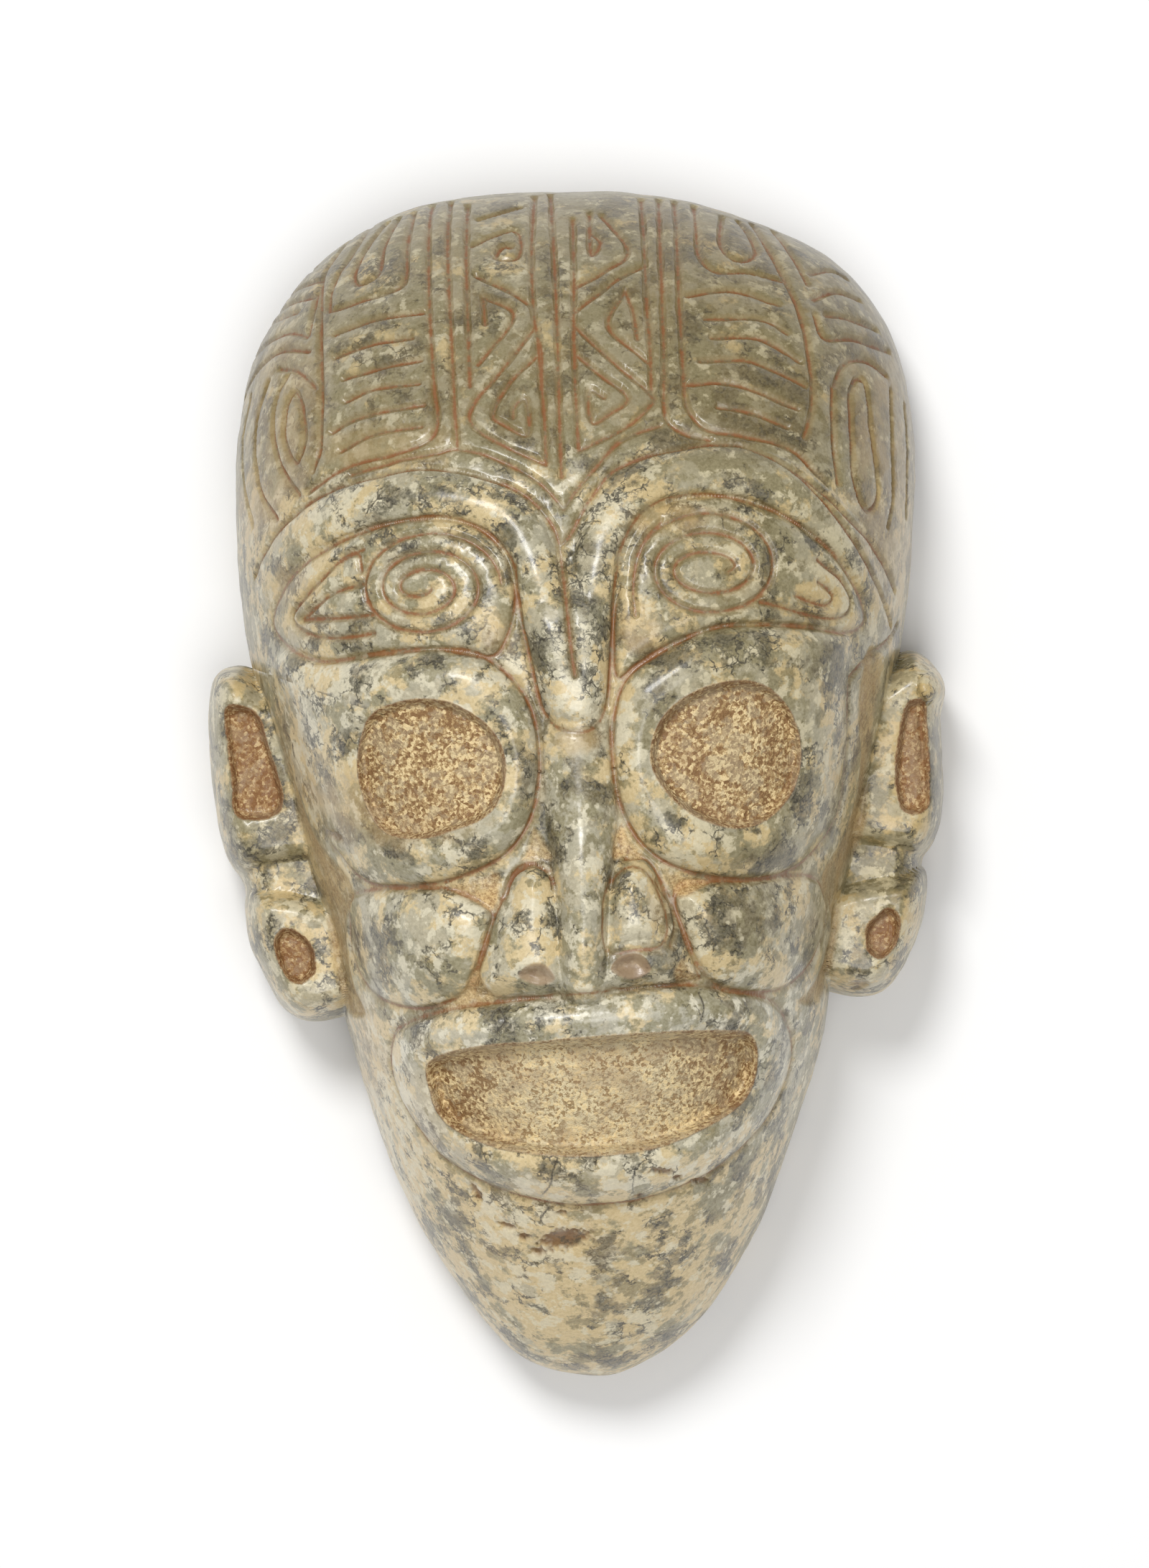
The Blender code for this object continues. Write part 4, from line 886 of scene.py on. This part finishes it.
class Wire:
    """One output socket of a material, with arithmetic."""

    def __init__(self, finish, socket):
        self.finish = finish
        self.socket = socket

    def maths(self, operation, a, b):
        return self.finish.node("ShaderNodeMath", {"operation": operation}, {0: a, 1: b})

    def __add__(self, other):
        return self.maths("ADD", self, other)

    def __sub__(self, other):
        return self.maths("SUBTRACT", self, other)

    def __rsub__(self, other):
        return self.maths("SUBTRACT", other, self)

    def __mul__(self, other):
        return self.maths("MULTIPLY", self, other)

    __radd__ = __add__
    __rmul__ = __mul__


class Finish:
    """A material whose nodes are added one call at a time."""

    def __init__(self, name):
        self.material = bpy.data.materials.new(name)
        self.material.use_nodes = True
        self.tree = self.material.node_tree
        self.shader = self.tree.nodes["Principled BSDF"]

    def node(self, kind, settings, values, out=0):
        made = self.tree.nodes.new(kind)
        for key, value in settings.items():
            setattr(made, key, value)
        for key, value in values.items():
            if isinstance(value, Wire):
                self.tree.links.new(value.socket, made.inputs[key])
            else:
                made.inputs[key].default_value = value
        return Wire(self, made.outputs[out])

    def span(self, value, low, high):
        """Nought below low, one above high, eased between."""
        return self.node("ShaderNodeMapRange", {"interpolation_type": "SMOOTHSTEP"},
                         {0: value, 1: low, 2: high, 3: 0.0, 4: 1.0})

    def mix(self, amount, a, b):
        """Colour a turning into colour b."""
        return self.node("ShaderNodeMix", {"data_type": "RGBA"}, {0: amount, 6: a, 7: b}, out=2)

    def tint(self, amount, a, b):
        """Colour a dulled by colour b, as a thin glaze would; also used for painted shade."""
        return self.node("ShaderNodeMix", {"data_type": "RGBA", "blend_type": "MULTIPLY"},
                         {0: amount, 6: a, 7: b}, out=2)

    def mark(self, name):
        return self.node("ShaderNodeAttribute", {"attribute_name": name}, {}, out=2)

    def feed(self, name, value):
        if isinstance(value, Wire):
            self.tree.links.new(value.socket, self.shader.inputs[name])
        else:
            self.shader.inputs[name].default_value = value


# %% [markdown]
# ## The stone
#
# The stone is a waxy, mottled grey-green and cream. It is built up as a painter would: clouds
# of the main colours, pale blots, smoke and veins, and last the brown that handling and burial
# left in every cut and hollow.

# %% Space for the patterns
stone = Finish("mottled_stone")
node, span, mix, tint, mark = stone.node, stone.span, stone.mix, stone.tint, stone.mark
place = node("ShaderNodeTexCoord", {}, {}, out=3)
space = node("ShaderNodeVectorMath", {"operation": "SCALE"}, {0: place, "Scale": 1 / SHARE})


def moved(where, shift):
    return node("ShaderNodeVectorMath", {"operation": "ADD"}, {0: where, 1: shift})


def noise(size, detail, rough, shift, out=0):
    values = {"Vector": moved(space, shift), "Scale": 1 / size, "Detail": detail, "Roughness": rough}
    return node("ShaderNodeTexNoise", {}, values, out=out)


def cells(feature, where, size, out=0):
    values = {"Vector": where, "Scale": 1 / size, "Randomness": 1.0}
    return node("ShaderNodeTexVoronoi", {"feature": feature}, values, out=out)


def three(colour):
    """The three channels of a noise colour, as three patterns."""
    return [node("ShaderNodeSeparateColor", {}, {0: colour}, out=i) for i in range(3)]


wander = moved(noise(1.3, 3.0, 0.6, (11.0, 3.0, 7.0), out=1), (-0.5, -0.5, -0.5))
wander = node("ShaderNodeVectorMath", {"operation": "SCALE"}, {0: wander, "Scale": 2.8})
bent = moved(space, wander)
cloud_a, cloud_b, cloud_c = three(noise(3.6, 5.0, 0.63, (3.0, 9.0, 1.0), out=1))
blot_a, blot_b, blot_c = three(noise(1.6, 5.0, 0.63, (33.0, 9.0, 51.0), out=1))
grain = noise(0.30, 3.0, 0.7, (2.0, 2.0, 9.0))
aside, up, above = (node("ShaderNodeSeparateXYZ", {}, {0: space}, out=i) for i in range(3))
side = node("ShaderNodeMath", {"operation": "ABSOLUTE"}, {0: aside})
pale, dusk, veined, warm = (mark(name) for name in ("pale", "dusk", "veined", "warm"))

# %% Clouds and blots
GREY = paint(152, 146, 118)
GREEN = paint(120, 112, 76)
CREAM = paint(222, 202, 158)
WHITE = paint(232, 226, 204)
COOL = paint(184, 180, 162)
OLIVE = paint(84, 72, 42)
SMOKE = paint(90, 88, 70)
VEIN = paint(44, 42, 34)

brow_up = span(up, 22.0, 30.0)
chin = 1 - span(up, -37.0, -28.0)
creamy = cloud_a + 0.16 * blot_a + 0.10 * pale - 0.08 * brow_up - 0.05 * dusk + 0.07 * chin
colour = mix(span(creamy, 0.54, 0.62), GREY, CREAM)
cool = span(cloud_b + 0.20 * blot_b - 0.08 * chin, 0.59, 0.66)
colour = mix(cool * 0.85, colour, COOL)
green = span(blot_a + 0.06 * dusk - 0.08 * pale, 0.53, 0.61)
colour = mix(green * 0.7, colour, GREEN)
white = span(blot_b + 0.10 * pale - 0.03 * dusk, 0.545, 0.61)
colour = mix(white * 0.8, colour, WHITE)
shade = span(cloud_c + 0.24 * blot_c + 0.09 * dusk - 0.06 * pale, 0.65, 0.74)
colour = mix(shade * 0.62, colour, OLIVE)
smoky = cloud_c + 0.12 * veined - 0.01 * chin
smoke = span(smoky, 0.53, 0.60) * span(blot_c, 0.50, 0.56)
colour = mix(smoke * 0.7, colour, SMOKE)
bead = cells("F1", moved(space, (7.0, 3.0, 1.0)), 1.05)
beads = (1 - span(bead + 0.7 * blot_c - 0.35, 0.14, 0.30)) * span(blot_b, 0.44, 0.54)
colour = mix(beads * 0.74, colour, WHITE)

# %% [markdown]
# ## Veins
#
# The veins are cracks that filled with darker mineral. They follow the edges of uneven cells,
# wander, and keep to clusters, so most of the stone has none.

# %% Dark veins
def cell_edge(size, shift):
    return cells("DISTANCE_TO_EDGE", moved(bent, shift), size)


cluster = span(smoky, 0.47, 0.55)
broken = span(blot_a, 0.42, 0.50)
long_vein = (1 - span(cell_edge(2.1, (0.0, 0.0, 0.0)), 0.02, 0.075)) * cluster * broken
short_vein = 1 - span(cell_edge(0.8, (5.0, 0.0, 9.0)), 0.04, 0.14)
short_vein = short_vein * span(smoky, 0.52, 0.60) * span(blot_b, 0.47, 0.53)
colour = mix(short_vein * 0.75, colour, paint(64, 63, 52))
colour = mix(long_vein * 0.9, colour, VEIN)
speckle = mix(span(grain, 0.35, 0.65), paint(90, 78, 50), paint(240, 232, 210))
colour = mix(0.14, colour, speckle)

# %% [markdown]
# ## Stain, and painted light and shade
#
# Brown earth has stayed in the cuts, creases and pockets, and has warmed the whole forehead. The
# sunk eyes and mouth were pecked, not polished: their floors are a sugar of rust, tan and cream.
# Shade is painted on the right of the face, on the low sides of the dome and along the walls of
# the sunk floors, and light is painted into the middle of the mouth floor.

# %% Stain in cuts and creases, and painted shade
patchy = span(cloud_b, 0.38, 0.60)
ragged = 0.34 * (blot_c - 0.5) + 0.24 * (grain - 0.5)
tan = paint(140, 118, 74)
# Painted shade: the right of the face above the lower cheeks is darkened.
right_side_shade = span(aside, 0.0, 11.0) * span(up, -19.0, -9.0)
colour = mix(brow_up * (0.20 + 0.22 * patchy), colour, paint(132, 116, 78))
colour = tint(span(up, -20.0, -14.0), colour, (0.90, 0.88, 0.82, 1.0))
colour = tint(0.55 * span(up, 6.0, 14.0) + 0.45 * brow_up, colour, (0.86, 0.85, 0.80, 1.0))
# Painted shade on the right of the face.
colour = tint(right_side_shade, colour, (0.88, 0.85, 0.77, 1.0))
colour = tint(1 - span(up, -34.0, -16.0), colour, (0.99, 0.965, 0.90, 1.0))
# Painted shade: the low sides of the dome, near the floor, are darkened.
low_side_shade = 1 - span(above, 12.0, 30.0)
colour = tint(low_side_shade, colour, (0.93, 0.90, 0.82, 1.0))
colour = mix(warm * (0.22 + 0.36 * patchy), colour, paint(196, 164, 108))

worn = span(blot_a + 0.4 * grain, 0.56, 0.72)
rust = mix(worn, paint(78, 60, 34), paint(130, 78, 34))
cut = mark("cut") + ragged
colour = mix((1 - span(cut, 0.10, 0.60)) * (0.34 + 0.26 * patchy), colour, tan)
cut_core = (1 - span(cut, 0.0, 0.24)) * (0.46 + 0.46 * worn)
colour = mix(cut_core, colour, rust)
crease = mark("crease") + ragged
colour = mix((1 - span(crease, 0.1, 0.8)) * 0.40, colour, tan)
crease_core = (1 - span(crease, 0.02, 0.24)) * (0.35 + 0.45 * worn)
colour = mix(crease_core, colour, rust)
crack = 1 - span(mark("crack") + 0.4 * ragged, 0.02, 0.14)
colour = mix(crack * 0.85, colour, paint(56, 50, 44))
pit = mark("pit")
colour = mix(pit * 0.9, colour, mix(worn, paint(56, 40, 22), paint(122, 86, 48)))

# %% Rough ground of pockets and floors, with painted light and shade on the floors
pocket = span(mark("pocket") + ragged, -0.10, 0.50)
ochre = mix(span(grain, 0.36, 0.62), paint(156, 116, 66), paint(216, 184, 128))
ochre = mix(span(side, 16.5, 18.5) * 0.6, ochre, paint(150, 126, 84))
colour = mix(pocket * (0.45 + 0.45 * patchy), colour, ochre)
nostril = span(mark("nostril") + 0.5 * ragged, -0.05, 0.25)
colour = mix(nostril * 0.75, colour, paint(158, 132, 104))
# Painted light and shade: the middle of the mouth floor is paler, its ends darker.
lit_mouth_middle = (1 - span(side, 4.0, 12.0)) * (1 - span(up, -18.0, -12.0))
dull = 0.06 * span(up, 3.0, 8.0) + 0.04 * span(side, 20.0, 21.0)
sugar = node("ShaderNodeSeparateColor", {}, {0: cells("F1", space, 0.27, out=1)})
fleck = 0.30 * sugar + 0.7 * grain + 0.22 * (blot_a - 0.5) + 0.30 * (cloud_b - 0.5) - dull
dark_sand = mix(lit_mouth_middle, paint(132, 98, 58), paint(158, 132, 92))
mid_sand = mix(lit_mouth_middle, paint(172, 142, 96), paint(218, 202, 162))
sand = mix(span(fleck, 0.40, 0.48), dark_sand, mid_sand)
sand = mix(span(fleck, 0.53, 0.60), sand, paint(226, 202, 152))
sand = mix(span(blot_b + 0.3 * cloud_a, 0.64, 0.72) * 0.4, sand, paint(180, 166, 136))
sand = mix(span(cloud_c + 0.2 * blot_a, 0.60, 0.70) * 0.30, sand, paint(140, 108, 76))
in_ear = span(side, 20.0, 21.0)
sand = mix(in_ear * 0.34, sand, paint(132, 78, 28))
floor_mark = mark("sunk")
# Painted shade: the sunk floors darken towards their walls.
sand = mix((1 - span(floor_mark + ragged, 0.0, 0.5)) * 0.45, sand, paint(118, 82, 50))
sunk = span(floor_mark + (0.5 + 0.8 * in_ear) * ragged, -0.08, 0.10)
colour = mix(sunk, colour, sand)
stone.feed("Base Color", colour)

# %% [markdown]
# ## Polish
#
# Raised stone is smooth from handling, cuts are duller, and the pecked floors are dry. Bump
# carries the faint unevenness of the polish and the grain of the pecking.

# %% Roughness and bump
dry = cut_core.maths("MAXIMUM", cut_core, pocket)
rough = 0.29 + 0.12 * blot_a + 0.30 * dry
rough = node("ShaderNodeMix", {"data_type": "FLOAT"}, {0: sunk, 2: rough, 3: 0.75})
stone.feed("Roughness", rough)
polish = noise(0.9, 2.0, 0.6, (6.0, 1.0, 2.0))
peck = noise(0.30, 2.0, 0.7, (2.0, 2.0, 9.0))
rough_mark = sunk.maths("MAXIMUM", sunk, 0.6 * pocket)
height = node("ShaderNodeMix", {"data_type": "FLOAT"}, {0: rough_mark, 2: 0.30 * polish, 3: 1.5 * peck})
bump = node("ShaderNodeBump", {}, {"Strength": 0.6, "Distance": 0.0006, "Height": height})
stone.feed("Normal", bump)
stone.feed("Coat Weight", 0.15)
stone.feed("Coat Roughness", 0.12)
stone.feed("IOR", 1.52)
mask.data.materials.clear()
mask.data.materials.append(stone.material)
print("stone material:", len(stone.tree.nodes), "nodes")

# %% [markdown]
# ## Floor, light and camera
#
# The mask lies on a plain pale floor under two soft lights, and the camera looks straight down
# on it from 1.2 m away, turned a couple of degrees, as in the picture.

# %% Floor
floor_mesh = bpy.data.meshes.new("floor")
floor_mesh.from_pydata([(-3, -3, 0), (3, -3, 0), (3, 3, 0), (-3, 3, 0)], [], [(0, 1, 2, 3)])
floor = bpy.data.objects.new("floor", floor_mesh)
floor.location.z = -0.0002
show(floor)
pale_floor = Finish("pale_floor")
pale_floor.feed("Base Color", (0.92, 0.92, 0.92, 1.0))
pale_floor.feed("Roughness", 0.9)
floor_mesh.materials.append(pale_floor.material)

# %% Light
world = bpy.data.worlds.new("room")
world.use_nodes = True
sky = world.node_tree.nodes["Background"].inputs
sky["Color"].default_value = (1.0, 1.0, 1.0, 1.0)
sky["Strength"].default_value = 0.35
bpy.context.scene.world = world
bpy.context.scene.view_settings.view_transform = "Standard"


def softbox(name, where, aim, size, power):
    light = bpy.data.lights.new(name, "AREA")
    light.shape = "DISK"
    light.size = size
    light.energy = power
    lamp = bpy.data.objects.new(name, light)
    lamp.location = where
    lamp.rotation_euler = (Vector(aim) - Vector(where)).to_track_quat("-Z", "Y").to_euler()
    show(lamp)


softbox("key", (-0.25, 0.62, 1.35), (0, 0, 0.03), 0.40, 12.2)
softbox("fill", (0.10, -0.30, 1.35), (0, 0, 0.03), 0.7, 6.6)

# %% Camera
AWAY = 545.5 * SHARE
ROLL = math.radians(2.4)
FOCAL_PIXELS = 8899.0
PICTURE_HEIGHT = 2183.0
cam = bpy.data.cameras.new("camera")
cam.sensor_width = 36.0
cam.lens = FOCAL_PIXELS / PICTURE_HEIGHT * cam.sensor_width
camera = bpy.data.objects.new("camera", cam)
camera.matrix_world = Matrix.Translation((-middle_x * SHARE, 0, AWAY)) @ Matrix.Rotation(-ROLL, 4, "Z")
show(camera)
bpy.context.scene.camera = camera
print("lens", round(cam.lens, 1), "mm")
